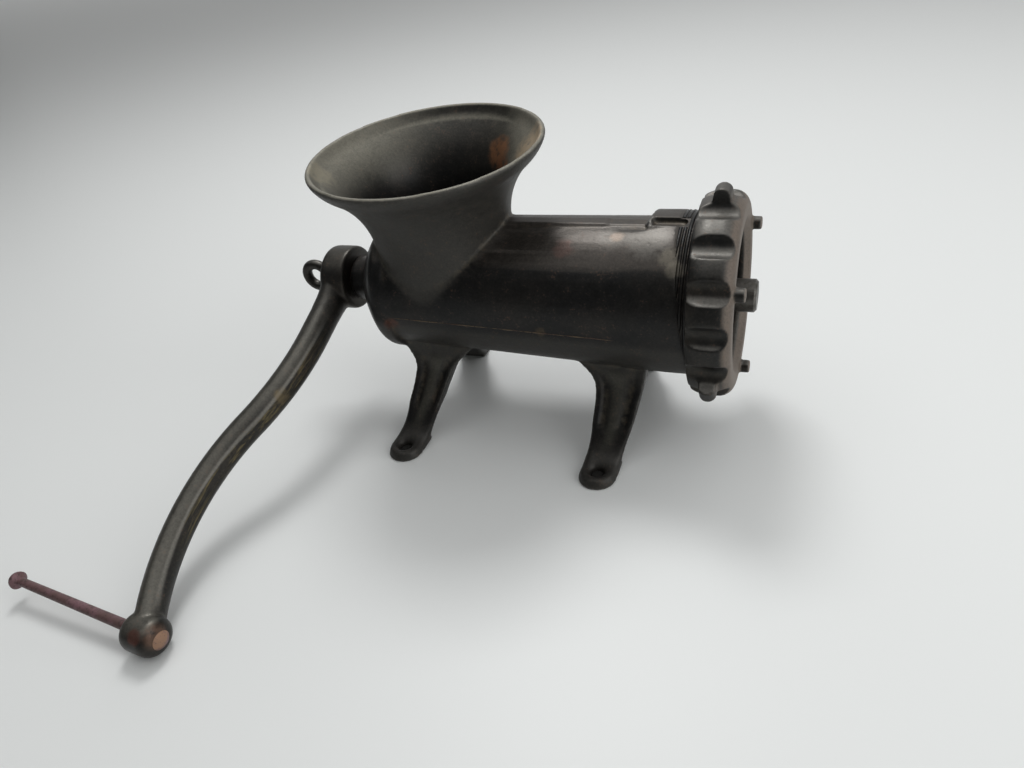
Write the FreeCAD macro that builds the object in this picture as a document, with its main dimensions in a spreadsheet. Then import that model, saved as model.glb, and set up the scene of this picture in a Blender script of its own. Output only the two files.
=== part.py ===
import FreeCAD, Part
import math
import operator
import os

import Sketcher

os.makedirs("parts", exist_ok=True)

# Hand-cranked meat grinder with a cast body on four feet.
# X runs along the feed worm towards the outlet, Y away from the crank's rest side, Z up.
# The origin lies on the table, in the middle of the four foot holes. All lengths are in millimetres.
# Every piece is drawn with the worm axis as its own X axis and is then lifted to axis_height.

DIMENSIONS = {
    # running and seating clearances, measured on the radius or on one side
    "running_gap": 0.05,
    "seat_gap": 0.05,
    "loose_gap": 0.2,
    "end_gap": 0.3,
    # cast body: barrel and domed rear end
    "axis_height": 109,
    "barrel_rear": -79,
    "barrel_rear_radius": 47.6,
    "barrel_front": 100,
    "barrel_front_radius": 51.4,
    "barrel_slope": 1,
    "nose_start": 104,
    "nose_taper": 6,
    "mouth": 152.5,
    "thread_radius": 54,
    "band_radius": 50.2,
    "band_width": 7,
    "dome_edge": 6.5,
    "dome_angle": 52,
    "dome_radius": 110,
    "bearing_radius": 16.5,
    "bearing_start": -112,
    "bearing_end": -125.5,
    # chamber inside the barrel
    "chamber_rear": -95,
    "chamber_floor_radius": 30,
    "chamber_corner": 15,
    "chamber_rear_radius": 42,
    "chamber_front_radius": 46.5,
    # hopper
    "hopper_x": -46,
    "hopper_lean": 2.4,
    "throat_base_radius": 48.4,
    "throat_radius": 49.8,
    "throat_top": 41.5,
    "flare_radius": 64.5,
    "flare_angle": 51.5,
    "lip_radius": 25,
    "lip_angle": 24,
    "hopper_wall": 4.2,
    "rim_drop": 1.1,
    # rib and keyway along the top of the barrel
    "rib_width": 10,
    "rib_rise": 1.4,
    "keyway_width": 9,
    "keyway_offset": -5.5,
    "keyway_depth": 3.8,
    "keyway_end": 128.5,
    # legs and feet
    "foot_half_length": 76,
    "foot_half_width": 73.8,
    "foot_radius": 13.4,
    "foot_thickness": 9,
    "foot_dish": 3,
    "foot_inset": 2,
    "foot_hole_radius": 5,
    "leg_waist": 26,
    "leg_depth": 15,
    "leg_channel": 2.6,
    "leg_ridge": 1.9,
    "leg_edge": 3.4,
    "leg_top_y": 31,
    "leg_top_drop": 42,
    "rear_leg_left_lean": 23,
    "rear_leg_left_flare": -14,
    "rear_leg_right_lean": 23,
    "rear_leg_right_flare": 11,
    "front_leg_left_lean": 11,
    "front_leg_left_flare": -18,
    "front_leg_right_lean": 17.5,
    "front_leg_right_flare": -3,
    # perforated plate and its key
    "plate_radius": 49,
    "plate_thickness": 11,
    "plate_stand": 1.5,
    "plate_hole_radius": 4,
    "plate_inner_circle": 22,
    "plate_outer_circle": 37,
    "key_radius": 2.5,
    "key_reach": 3.5,
    # four-armed knife
    "knife_radius": 45.4,
    "knife_thickness": 10,
    "knife_hub_radius": 19,
    "knife_arm_lead": 13.68,
    "knife_arm_trail": 8.55,
    "knife_arm_root": 10.45,
    "knife_grind": 15,
    "square_side": 22,
    # feed worm
    "worm_front": 131,
    "worm_rear_radius": 13,
    "worm_front_radius": 20,
    "worm_flange_radius": 22,
    "worm_flange_width": 5,
    "worm_flange_cone": 9,
    "flight_gap": 0.8,
    "flight_pitch": 52,
    "flight_end_gap": 3,
    "flight_sink": 3,
    "flight_root": 13,
    "flight_tip": 6,
    "journal_radius": 12,
    "tang_side": 16.8,
    # front stud
    "stud_root_radius": 9,
    "stud_root_length": 28,
    "stud_chamfer": 1.5,
    "pin_radius": 10.8,
    "pin_end": 171.3,
    # ring nut
    "ring_rear": 128.4,
    "ring_face": 162,
    "ring_radius": 66.5,
    "ring_rear_radius": 56,
    "ring_crown_rear": 146,
    "ring_crown_front": 152.4,
    "ring_face_radius": 58.5,
    "ring_opening": 45.5,
    "ring_chamfer": 4.5,
    "scallop_count": 15,
    "scallop_radius": 8.9,
    "scallop_depth": 4.6,
    "lug_count": 3,
    "lug_x": 148.7,
    "lug_width": 11,
    "lug_length": 12,
    "lug_tip": 74.6,
    "peg_circle": 56,
    "peg_radius": 4.4,
    "peg_end": 168.5,
    # crank
    "hub_radius": 24.4,
    "hub_edge": 2.5,
    "hub_outer_edge": 5.5,
    "hub_length": 22.5,
    "hub_front": -127.5,
    "arm_x": -141.3,
    "arm_straight": 60,
    "bow_out_radius": 215,
    "bow_out_angle": 21.8,
    "bow_back_radius": 185,
    "bow_back_angle": 25.8,
    "arm_half_width": 11.2,
    "arm_half_depth": 12,
    "neck_half_width": 12.8,
    "neck_half_depth": 18.5,
    "neck_length": 26,
    "arm_end_half_width": 9,
    "arm_end_half_depth": 10.4,
    "boss_radius": 12.5,
    "boss_length": 25.5,
    "boss_shift": 1.3,
    "boss_edge": 7,
    "boss_lift": 0.3,
    # bare grip spindle
    "spindle_radius": 3.5,
    "spindle_tip_radius": 2.9,
    "spindle_length": 108.5,
    "spindle_tilt": 5,
    "spindle_head_radius": 6,
    "spindle_head_length": 8,
    "spindle_head_edge": 2.4,
    "rivet_radius": 6,
    "rivet_height": 1.8,
    # thumb screw and washers
    "screw_radius": 5,
    "screw_depth": 20,
    "screw_chamfer": 1,
    "screw_washer_radius": 12,
    "screw_washer_thickness": 2,
    "screw_shoulder_radius": 9,
    "screw_shoulder_length": 3.5,
    "loop_radius": 9.6,
    "loop_wire": 3.9,
    "loop_stand": 1.56,
    "thrust_washer_radius": 24,
    "thrust_washer_thickness": 3,
}

PLATE_HOLES_INNER = 11
PLATE_HOLES_OUTER = 20
KNIFE_ARMS = 4
KNIFE_TIP_ANGLE = 9
KNIFE_HEEL_ANGLE = -7
LEG_LEVELS = (0.0, 0.22, 0.45, 0.7, 0.88, 1.0, 1.14)
# How late a leg flares into the barrel, spreads outwards and widens into its foot,
# and how much of its channels has run out at the top.
FLARE_POWER = 6
SPLAY_POWER = 1.4
FOOT_POWER = 3
CHANNEL_FADE = 0.9
NECK_LEVELS = (0.0, 0.3, 0.6, 1.0)

# Cutting tools reach this far past the faces that they open.
OVERRUN = 1
# Round ends are drawn a hair flatter than a half circle, so that their sketches solve.
FLATTER = 1.0001
OPERATIONS = {"+": operator.add, "-": operator.sub, "*": operator.mul, "/": operator.truediv}


class Size:
    """A number together with the spreadsheet expression that gives it."""

    def __init__(self, value, text):
        self.value = float(value)
        self.text = text

    def __add__(self, other):
        return join(self, "+", other)

    def __radd__(self, other):
        return join(other, "+", self)

    def __sub__(self, other):
        return join(self, "-", other)

    def __rsub__(self, other):
        return join(other, "-", self)

    def __mul__(self, other):
        return join(self, "*", other)

    def __rmul__(self, other):
        return join(other, "*", self)

    def __truediv__(self, other):
        return join(self, "/", other)

    def __neg__(self):
        return join(-1, "*", self)


def as_size(number):
    return number if isinstance(number, Size) else Size(number, "(%.6f)" % number)


def join(left, sign, right):
    left, right = as_size(left), as_size(right)
    return Size(OPERATIONS[sign](left.value, right.value), "(%s %s %s)" % (left.text, sign, right.text))


def sine(angle):
    return Size(math.sin(math.radians(angle.value)), "sin(%s)" % angle.text)


def cosine(angle):
    return Size(math.cos(math.radians(angle.value)), "cos(%s)" % angle.text)


class Sizes:
    """Gives each driving dimension by its alias."""

    def __init__(self, values):
        self.values = values

    def __getattr__(self, alias):
        return Size(self.values[alias], "Dims." + alias)


def write_sheet(doc):
    sheet = doc.addObject("Spreadsheet::Sheet", "Dims")
    for row, (alias, value) in enumerate(DIMENSIONS.items(), start=1):
        sheet.set("A%d" % row, alias)
        sheet.set("B%d" % row, str(value))
        sheet.setAlias("B%d" % row, alias)
    doc.recompute()
    return Sizes(DIMENSIONS)


def new_body(doc, label, d):
    body = doc.addObject("PartDesign::Body", "Body_" + label)
    body.Label = label
    body.setExpression("Placement.Base.z", d.axis_height.text)
    return body


def origin_feature(body, role):
    return next(item for item in body.Origin.OriginFeatures if item.Role == role)


def new_sketch(body, name, role, shift=(0, 0, 0), turn=None):
    """An empty sketch on one of the body's own planes, moved within that plane or off it."""
    sketch = body.newObject("Sketcher::SketchObject", name)
    sketch.AttachmentSupport = (origin_feature(body, role), "")
    sketch.MapMode = "FlatFace"
    for axis, amount in zip("xyz", shift):
        if isinstance(amount, Size):
            sketch.setExpression("AttachmentOffset.Base." + axis, amount.text)
    if turn is not None:
        sketch.setExpression("AttachmentOffset.Rotation.Angle", turn.text)
    return sketch


def fix_point(sketch, geometry, end, point):
    for kind, amount in zip(("DistanceX", "DistanceY"), point):
        amount = as_size(amount)
        index = sketch.addConstraint(Sketcher.Constraint(kind, -1, 1, geometry, end, amount.value))
        sketch.setExpression("Constraints[%d]" % index, amount.text)


def fix_radius(sketch, geometry, radius):
    index = sketch.addConstraint(Sketcher.Constraint("Radius", geometry, radius.value))
    sketch.setExpression("Constraints[%d]" % index, radius.text)


def arc_between(start, finish, radius):
    """The short arc from start to finish; its centre lies left of the way there when radius is positive."""
    middle = (start + finish) * 0.5
    along = finish - start
    left = FreeCAD.Vector(-along.y, along.x, 0).normalize()
    rise = abs(radius) - math.sqrt(radius * radius - along.Length * along.Length / 4)
    return Part.Arc(start, middle - left * math.copysign(rise, radius), finish)


def draw_outline(sketch, corners):
    """Closes a run of corners. A third value gives the radius of the arc that leaves the corner."""
    points = [FreeCAD.Vector(as_size(c[0]).value, as_size(c[1]).value, 0) for c in corners]
    ends = []
    for index, corner in enumerate(corners):
        start, finish = points[index], points[(index + 1) % len(points)]
        if len(corner) == 2:
            geometry = sketch.addGeometry(Part.LineSegment(start, finish), False)
        else:
            geometry = sketch.addGeometry(arc_between(start, finish, corner[2].value), False)
        forward = (sketch.getPoint(geometry, 1) - start).Length < (sketch.getPoint(geometry, 2) - start).Length
        ends.append((geometry, 1 if forward else 2, 2 if forward else 1))
    for index, (geometry, near, far) in enumerate(ends):
        following = ends[(index + 1) % len(ends)]
        sketch.addConstraint(Sketcher.Constraint("Coincident", geometry, far, following[0], following[1]))
        fix_point(sketch, geometry, near, corners[index][:2])
        if len(corners[index]) == 3:
            radius = corners[index][2]
            fix_radius(sketch, geometry, radius if radius.value > 0 else -radius)


def draw_circle(sketch, centre, radius):
    middle = FreeCAD.Vector(as_size(centre[0]).value, as_size(centre[1]).value, 0)
    geometry = sketch.addGeometry(Part.Circle(middle, FreeCAD.Vector(0, 0, 1), radius.value), False)
    fix_point(sketch, geometry, 3, centre)
    fix_radius(sketch, geometry, radius)


def draw_square(sketch, side):
    half = side / 2
    draw_outline(sketch, [(-half, -half), (half, -half), (half, half), (-half, half)])


def turn_profile(body, name, sketch, axis="H_Axis", cut=False):
    """Turns a profile round the sketch's own axis, as added or removed material."""
    feature = body.newObject("PartDesign::Groove" if cut else "PartDesign::Revolution", name)
    feature.Profile = sketch
    feature.ReferenceAxis = (sketch, [axis])
    feature.Angle = 360
    return feature


def extrude(body, name, sketch, length, both_ways=False, reverse=False):
    feature = body.newObject("PartDesign::Pad", name)
    feature.Profile = sketch
    feature.setExpression("Length", length.text)
    feature.Midplane = both_ways
    feature.Reversed = reverse
    return feature


def cut_away(body, name, sketch, length=None, both_ways=False, reverse=False):
    """A pocket of the given length, or one that goes right through both ways."""
    feature = body.newObject("PartDesign::Pocket", name)
    feature.Profile = sketch
    feature.Midplane = both_ways or length is None
    feature.Reversed = reverse
    if length is None:
        feature.Type = "ThroughAll"
    else:
        feature.setExpression("Length", length.text)
    return feature


def repeat_round(body, name, features, count):
    """Repeats features evenly round the worm axis."""
    pattern = body.newObject("PartDesign::PolarPattern", name)
    pattern.Originals = features
    pattern.Axis = (origin_feature(body, "X_Axis"), [""])
    pattern.Angle = 360
    if isinstance(count, Size):
        pattern.setExpression("Occurrences", count.text)
    else:
        pattern.Occurrences = count
    body.Tip = pattern
    return pattern


def mirror_across(body, name, features):
    """Repeats features on the far side of the body's middle plane."""
    mirrored = body.newObject("PartDesign::Mirrored", name)
    mirrored.Originals = features
    mirrored.MirrorPlane = (origin_feature(body, "XZ_Plane"), [""])
    body.Tip = mirrored
    return mirrored


def on_circle(radius, degrees):
    """A point in the YZ plane, at an angle from straight up towards the near side."""
    angle = math.radians(degrees)
    return (radius * -math.sin(angle), radius * math.cos(angle))


def barrel_radius_at(d, x):
    slope = (d.barrel_front_radius - d.barrel_rear_radius) / (d.barrel_front - d.barrel_rear)
    return d.barrel_rear_radius + slope * (x - d.barrel_rear)


def recess_start(d):
    """Rear face of the plate, which stands a little out of the mouth so that the ring nut bears on it."""
    return d.mouth - (d.plate_thickness - d.plate_stand)


def worm_shoulder(d):
    return d.chamber_rear + d.thrust_washer_thickness + d.end_gap


def flare_end(d, wall):
    """Where the trumpet flare meets the lip, wall deep inside the outer skin."""
    radius = d.throat_radius + d.flare_radius - (d.flare_radius + wall) * cosine(d.flare_angle)
    return radius, d.throat_top + (d.flare_radius + wall) * sine(d.flare_angle)


def lip_end(d, wall):
    """The rim edge of the hopper, wall deep inside the outer skin."""
    radius, height = flare_end(d, as_size(0))
    centre_radius = radius - d.lip_radius * cosine(d.flare_angle)
    centre_height = height + d.lip_radius * sine(d.flare_angle)
    reach = d.lip_radius - wall
    return centre_radius + reach * cosine(d.lip_angle), centre_height - reach * sine(d.lip_angle)


def hopper_corners(d, wall):
    """Half section of the hopper from its foot to the start of its lip, wall deep inside the outer skin."""
    flare = flare_end(d, wall)
    return [
        (0, 0),
        (d.throat_base_radius - wall, 0),
        (d.throat_radius - wall, d.throat_top, -(d.flare_radius + wall)),
        (flare[0], flare[1], d.lip_radius - wall),
    ]


def leg_edge_at(d, lean, flare, level):
    """Sideways place of a leg's edge from its foot's middle: it leans evenly and flares near the barrel."""
    return lean * level + flare * min(level, 1) ** FLARE_POWER


def add_leg(body, name, d, foot_x, left_edge, right_edge):
    """One leg on the near side, with raised edges, a soft middle ridge and a dished foot."""
    loft = []
    leg_height = d.axis_height - d.leg_top_drop
    for index, level in enumerate(LEG_LEVELS):
        below = max(1 - level, 0)
        outer = -(d.leg_top_y + (d.foot_half_width - d.foot_inset - d.leg_top_y) * below ** SPLAY_POWER)
        inner = outer + d.leg_depth
        half = d.leg_waist / 2 + (d.foot_radius - d.leg_waist / 2) * below ** FOOT_POWER
        left = foot_x - half + leg_edge_at(d, *left_edge, level)
        right = foot_x + half + leg_edge_at(d, *right_edge, level)
        fade = 1 - CHANNEL_FADE * min(level, 1) ** FLARE_POWER
        valley = outer + d.leg_channel * fade
        crest = outer + (d.leg_channel - d.leg_ridge) * fade
        sketch = new_sketch(body, "%s_section_%d" % (name, index), "XY_Plane",
                            shift=(0, 0, leg_height * level - d.axis_height))
        draw_outline(sketch, [
            (left, inner),
            (left, outer),
            (left + d.leg_edge, outer),
            (left + d.leg_edge * 2, valley),
            ((left + right) / 2, crest),
            (right - d.leg_edge * 2, valley),
            (right - d.leg_edge, outer),
            (right, outer),
            (right, inner),
        ])
        loft.append(sketch)
    leg = body.newObject("PartDesign::AdditiveLoft", name + "_loft")
    leg.Profile = loft[0]
    leg.Sections = loft[1:]
    foot = new_sketch(body, name + "_foot_outline", "XY_Plane", shift=(0, 0, -d.axis_height))
    left, right = foot_x - d.foot_radius, foot_x + d.foot_radius
    draw_outline(foot, [
        (left, -d.foot_half_width, d.foot_radius * FLATTER),
        (foot_x, -d.foot_half_width - d.foot_radius, d.foot_radius * FLATTER),
        (right, -d.foot_half_width),
        (right - d.leg_edge / 3, -d.foot_half_width + d.foot_radius),
        (left + d.leg_edge / 3, -d.foot_half_width + d.foot_radius),
    ])
    pad = extrude(body, name + "_foot", foot, d.foot_thickness)
    dish = new_sketch(body, name + "_dish_outline", "XZ_Plane", shift=(foot_x, 0, d.foot_half_width))
    sole, top = -d.axis_height, d.foot_thickness - d.axis_height
    cup_radius = d.foot_radius - d.leg_edge
    draw_outline(dish, [
        (0, sole - OVERRUN),
        (d.foot_hole_radius, sole - OVERRUN),
        (d.foot_hole_radius, top - d.foot_dish),
        (cup_radius, top),
        (cup_radius, top + d.leg_depth),
        (0, top + d.leg_depth),
    ])
    cup = turn_profile(body, name + "_dish", dish, axis="V_Axis", cut=True)
    return [leg, pad, cup]


def make_housing(doc, d):
    """Barrel, hopper and legs, which are one casting."""
    body = new_body(doc, "housing", d)
    band_rear = d.barrel_rear - d.band_width
    dome_x = band_rear - d.dome_edge * sine(d.dome_angle)
    dome_y = d.band_radius - d.dome_edge * (1 - cosine(d.dome_angle))
    ends = new_sketch(body, "ends_outline", "XZ_Plane")
    draw_outline(ends, [
        (d.bearing_end, 0),
        (d.mouth, 0),
        (d.mouth, d.thread_radius),
        (d.nose_start + d.nose_taper, d.thread_radius),
        (d.nose_start, nose_radius(d)),
        (d.nose_start, d.chamber_rear_radius),
        (d.barrel_rear, d.chamber_rear_radius),
        (d.barrel_rear, d.band_radius),
        (band_rear, d.band_radius, d.dome_edge),
        (dome_x, dome_y, d.dome_radius),
        (d.bearing_start, d.bearing_radius + OVERRUN),
        (d.bearing_end, d.bearing_radius),
    ])
    turn_profile(body, "ends", ends)
    skin = new_sketch(body, "barrel_outline", "XZ_Plane", turn=-d.barrel_slope)
    draw_outline(skin, [
        (d.barrel_rear - OVERRUN, 0),
        (d.nose_start + OVERRUN, 0),
        (d.nose_start + OVERRUN, barrel_radius_at(d, d.nose_start + OVERRUN)),
        (d.barrel_rear - OVERRUN, d.barrel_rear_radius),
    ])
    turn_profile(body, "barrel", skin)
    outer_lip, inner_lip = lip_end(d, as_size(0)), lip_end(d, d.hopper_wall)
    upright = (outer_lip[1] * sine(d.hopper_lean), -d.rim_drop, d.hopper_x)
    funnel = new_sketch(body, "hopper_outline", "YZ_Plane", shift=upright, turn=d.hopper_lean)
    draw_outline(funnel, hopper_corners(d, as_size(0)) + [
        outer_lip + (d.hopper_wall / 2 * FLATTER,),
        inner_lip,
        (0, inner_lip[1]),
    ])
    turn_profile(body, "hopper", funnel, axis="V_Axis")
    rib = new_sketch(body, "rib_outline", "XZ_Plane", turn=-d.barrel_slope)
    rib_low = d.chamber_front_radius
    draw_outline(rib, [
        (d.hopper_x, rib_low),
        (d.nose_start, rib_low),
        (d.nose_start, barrel_radius_at(d, d.nose_start) + d.rib_rise),
        (d.hopper_x, barrel_radius_at(d, d.hopper_x) + d.rib_rise),
    ])
    extrude(body, "rib", rib, d.rib_width, both_ways=True)
    rear = add_leg(body, "rear_leg", d, -d.foot_half_length,
                   (d.rear_leg_left_lean, d.rear_leg_left_flare),
                   (d.rear_leg_right_lean, d.rear_leg_right_flare))
    front = add_leg(body, "front_leg", d, d.foot_half_length,
                    (d.front_leg_left_lean, d.front_leg_left_flare),
                    (d.front_leg_right_lean, d.front_leg_right_flare))
    mirror_across(body, "far_legs", rear + front)
    chamber = new_sketch(body, "chamber_outline", "XZ_Plane")
    bearing_bore = d.journal_radius + d.running_gap
    plate_bore = d.plate_radius + d.seat_gap
    draw_outline(chamber, [
        (d.bearing_end - OVERRUN, 0),
        (d.bearing_end - OVERRUN, bearing_bore),
        (d.chamber_rear, bearing_bore),
        (d.chamber_rear, d.chamber_floor_radius, -d.chamber_corner),
        (d.chamber_rear + d.chamber_corner, d.chamber_rear_radius),
        (recess_start(d), d.chamber_front_radius),
        (recess_start(d), plate_bore),
        (d.mouth + OVERRUN, plate_bore),
        (d.mouth + OVERRUN, 0),
    ])
    turn_profile(body, "chamber", chamber, cut=True)
    bowl = new_sketch(body, "bowl_outline", "YZ_Plane", shift=upright, turn=d.hopper_lean)
    draw_outline(bowl, hopper_corners(d, d.hopper_wall) + [
        inner_lip,
        (inner_lip[0], inner_lip[1] + d.hopper_wall),
        (0, inner_lip[1] + d.hopper_wall),
    ])
    turn_profile(body, "bowl", bowl, axis="V_Axis", cut=True)
    keyway = new_sketch(body, "keyway_outline", "XY_Plane", shift=(0, 0, d.thread_radius + OVERRUN))
    half = d.keyway_width / 2
    near, far = d.keyway_offset - half, d.keyway_offset + half
    draw_outline(keyway, [
        (d.nose_start, near),
        (d.keyway_end - half, near, half * FLATTER),
        (d.keyway_end, d.keyway_offset, half * FLATTER),
        (d.keyway_end - half, far),
        (d.nose_start, far),
    ])
    cut_away(body, "keyway", keyway, d.keyway_depth + OVERRUN)
    key_bore = new_sketch(body, "key_bore_outline", "XY_Plane")
    draw_circle(key_bore, (key_position(d), 0), d.key_radius)
    cut_away(body, "key_bore", key_bore, d.thread_radius + OVERRUN)
    return body


def nose_radius(d):
    """Where the nose grows out of the barrel, flush with the lower side of its slanted skin."""
    return barrel_radius_at(d, d.nose_start) - d.nose_start * sine(d.barrel_slope) / 2


def key_position(d):
    """The key stands in the middle of the part of the plate that lies in the mouth."""
    return (recess_start(d) + d.mouth) / 2


def key_foot(d):
    """Outer end of the key, which stays a little inside the thread's crest."""
    return d.thread_radius - d.key_radius


def make_key(doc, d):
    """Pin pressed into the bottom of the mouth, which keeps the plate from turning."""
    key = doc.addObject("Part::Cylinder", "Body_plate_key")
    key.Label = "plate_key"
    length = key_foot(d) - (d.plate_radius - d.key_reach)
    key.setExpression("Radius", d.key_radius.text)
    key.setExpression("Height", length.text)
    key.setExpression("Placement.Base.x", key_position(d).text)
    key.setExpression("Placement.Base.z", (d.axis_height - key_foot(d)).text)
    return key


def make_thrust_washer(doc, d):
    """Washer that takes the push of the worm against the rear wall."""
    body = new_body(doc, "thrust_washer", d)
    face = new_sketch(body, "washer_outline", "YZ_Plane", shift=(0, 0, d.chamber_rear))
    draw_circle(face, (0, 0), d.thrust_washer_radius)
    draw_circle(face, (0, 0), d.journal_radius + d.loose_gap)
    extrude(body, "washer", face, d.thrust_washer_thickness)
    return body


def make_plate(doc, d):
    """Perforated plate, notched for its key and carried on the pin of the worm."""
    body = new_body(doc, "hole_plate", d)
    start = recess_start(d)
    face = new_sketch(body, "plate_outline", "YZ_Plane", shift=(0, 0, start))
    draw_circle(face, (0, 0), d.plate_radius)
    draw_circle(face, (0, 0), d.pin_radius + d.running_gap)
    extrude(body, "plate", face, d.plate_thickness)
    notch = new_sketch(body, "notch_outline", "YZ_Plane")
    half = d.key_radius + d.loose_gap
    bottom = d.plate_radius - d.key_reach - d.end_gap
    draw_outline(notch, [
        (-half, -(d.plate_radius + OVERRUN)),
        (half, -(d.plate_radius + OVERRUN)),
        (half, -bottom),
        (-half, -bottom),
    ])
    cut_away(body, "notch", notch)
    rows = ((d.plate_inner_circle, PLATE_HOLES_INNER), (d.plate_outer_circle, PLATE_HOLES_OUTER))
    for number, (circle, count) in enumerate(rows):
        spot = new_sketch(body, "hole_outline_%d" % number, "YZ_Plane")
        draw_circle(spot, (0, circle), d.plate_hole_radius)
        hole = cut_away(body, "hole_%d" % number, spot)
        repeat_round(body, "holes_%d" % number, [hole], count)
    return body


def make_knife(doc, d):
    """Knife with four swept arms, sharpened on the side that leads."""
    body = new_body(doc, "knife", d)
    start = recess_start(d) - d.knife_thickness
    face = new_sketch(body, "knife_hub_outline", "YZ_Plane", shift=(0, 0, start))
    draw_circle(face, (0, 0), d.knife_hub_radius)
    extrude(body, "knife_hub", face, d.knife_thickness)
    arm = new_sketch(body, "knife_arm_outline", "YZ_Plane", shift=(0, 0, start))
    tip = on_circle(d.knife_radius, KNIFE_TIP_ANGLE)
    heel = on_circle(d.knife_radius, KNIFE_HEEL_ANGLE)
    draw_outline(arm, [
        (-d.knife_arm_trail, d.knife_arm_root),
        (d.knife_arm_lead, d.knife_arm_root, -d.knife_radius),
        (heel[0], heel[1], d.knife_radius),
        (tip[0], tip[1], d.knife_radius),
    ])
    blade = extrude(body, "knife_arm", arm, d.knife_thickness)
    front = start + d.knife_thickness
    grind = new_sketch(body, "grind_outline", "XY_Plane", shift=(0, 0, d.knife_hub_radius))
    draw_outline(grind, [
        (front, d.knife_arm_lead),
        (front, d.knife_arm_lead + d.knife_hub_radius),
        (start - OVERRUN, d.knife_arm_lead + d.knife_hub_radius),
        (start - OVERRUN, d.knife_arm_lead - d.knife_grind),
    ])
    bevel = cut_away(body, "grind", grind, d.knife_radius - d.knife_hub_radius, reverse=True)
    repeat_round(body, "knife_arms", [blade, bevel], KNIFE_ARMS)
    eye = new_sketch(body, "knife_eye_outline", "YZ_Plane")
    draw_square(eye, d.square_side + d.seat_gap * 2)
    cut_away(body, "knife_eye", eye)
    return body


def make_worm(doc, d):
    """Feed worm: a core that swells to the front, with one flight that follows the taper of the chamber."""
    body = new_body(doc, "feed_worm", d)
    core = new_sketch(body, "core_outline", "XZ_Plane")
    tang_start, shoulder = d.hub_front, worm_shoulder(d)
    flange = shoulder + d.worm_flange_width
    draw_outline(core, [
        (tang_start, 0),
        (d.worm_front, 0),
        (d.worm_front, d.worm_front_radius),
        (flange + d.worm_flange_cone, d.worm_rear_radius),
        (flange, d.worm_flange_radius),
        (shoulder, d.worm_flange_radius),
        (shoulder, d.journal_radius),
        (tang_start, d.journal_radius),
    ])
    turn_profile(body, "core", core)
    tang = new_sketch(body, "tang_outline", "YZ_Plane", shift=(0, 0, tang_start + OVERRUN), turn=rest_angle(d))
    draw_square(tang, d.tang_side)
    extrude(body, "tang", tang, d.hub_length - d.end_gap + OVERRUN, reverse=True)
    taper_length = recess_start(d) - d.chamber_rear - d.chamber_corner
    growth = (d.chamber_front_radius - d.chamber_rear_radius) / taper_length
    start = d.chamber_rear + d.chamber_corner + d.flight_end_gap
    reach = d.chamber_rear_radius - d.flight_gap + growth * d.flight_end_gap
    low = d.worm_rear_radius - d.flight_sink
    run = d.worm_front - d.flight_end_gap - d.flight_root - start
    flight = new_sketch(body, "flight_outline", "XZ_Plane")
    draw_outline(flight, [
        (start, low),
        (start + d.flight_root, low),
        (start + (d.flight_root + d.flight_tip) / 2, reach + growth * d.flight_tip),
        (start + (d.flight_root - d.flight_tip) / 2, reach),
    ])
    thread = body.newObject("PartDesign::AdditiveHelix", "flight")
    thread.Profile = flight
    thread.ReferenceAxis = (flight, ["H_Axis"])
    thread.Mode = "pitch-turns-angle"
    thread.setExpression("Pitch", d.flight_pitch.text)
    thread.setExpression("Turns", (run / d.flight_pitch).text)
    thread.setExpression("Angle", "atan(%s)" % growth.text)
    tap = new_sketch(body, "tap_outline", "YZ_Plane", shift=(0, 0, tang_start - d.hub_length))
    draw_circle(tap, (0, 0), d.screw_radius + d.running_gap)
    cut_away(body, "tap", tap, d.screw_depth + d.screw_chamfer, reverse=True)
    socket = new_sketch(body, "socket_outline", "YZ_Plane", shift=(0, 0, d.worm_front))
    draw_circle(socket, (0, 0), d.stud_root_radius)
    cut_away(body, "socket", socket, d.stud_root_length + d.end_gap)
    return body


def make_stud(doc, d):
    """Steel stud in the front of the worm: a square that drives the knife and a pin that carries the plate."""
    body = new_body(doc, "worm_stud", d)
    profile = new_sketch(body, "stud_outline", "XZ_Plane")
    draw_outline(profile, [
        (d.worm_front - d.stud_root_length, 0),
        (d.pin_end, 0),
        (d.pin_end, d.pin_radius - d.stud_chamfer),
        (d.pin_end - d.stud_chamfer, d.pin_radius),
        (d.worm_front, d.pin_radius),
        (d.worm_front, d.stud_root_radius),
        (d.worm_front - d.stud_root_length, d.stud_root_radius),
    ])
    turn_profile(body, "stud", profile)
    square = new_sketch(body, "square_outline", "YZ_Plane", shift=(0, 0, d.worm_front))
    draw_square(square, d.square_side)
    extrude(body, "square", square, recess_start(d) - d.worm_front - d.end_gap)
    return body


def bulge_radius(run, rise):
    """Radius of an arc that leaves level and falls by rise over the given run."""
    return (run * run / rise + rise) / 2


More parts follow.
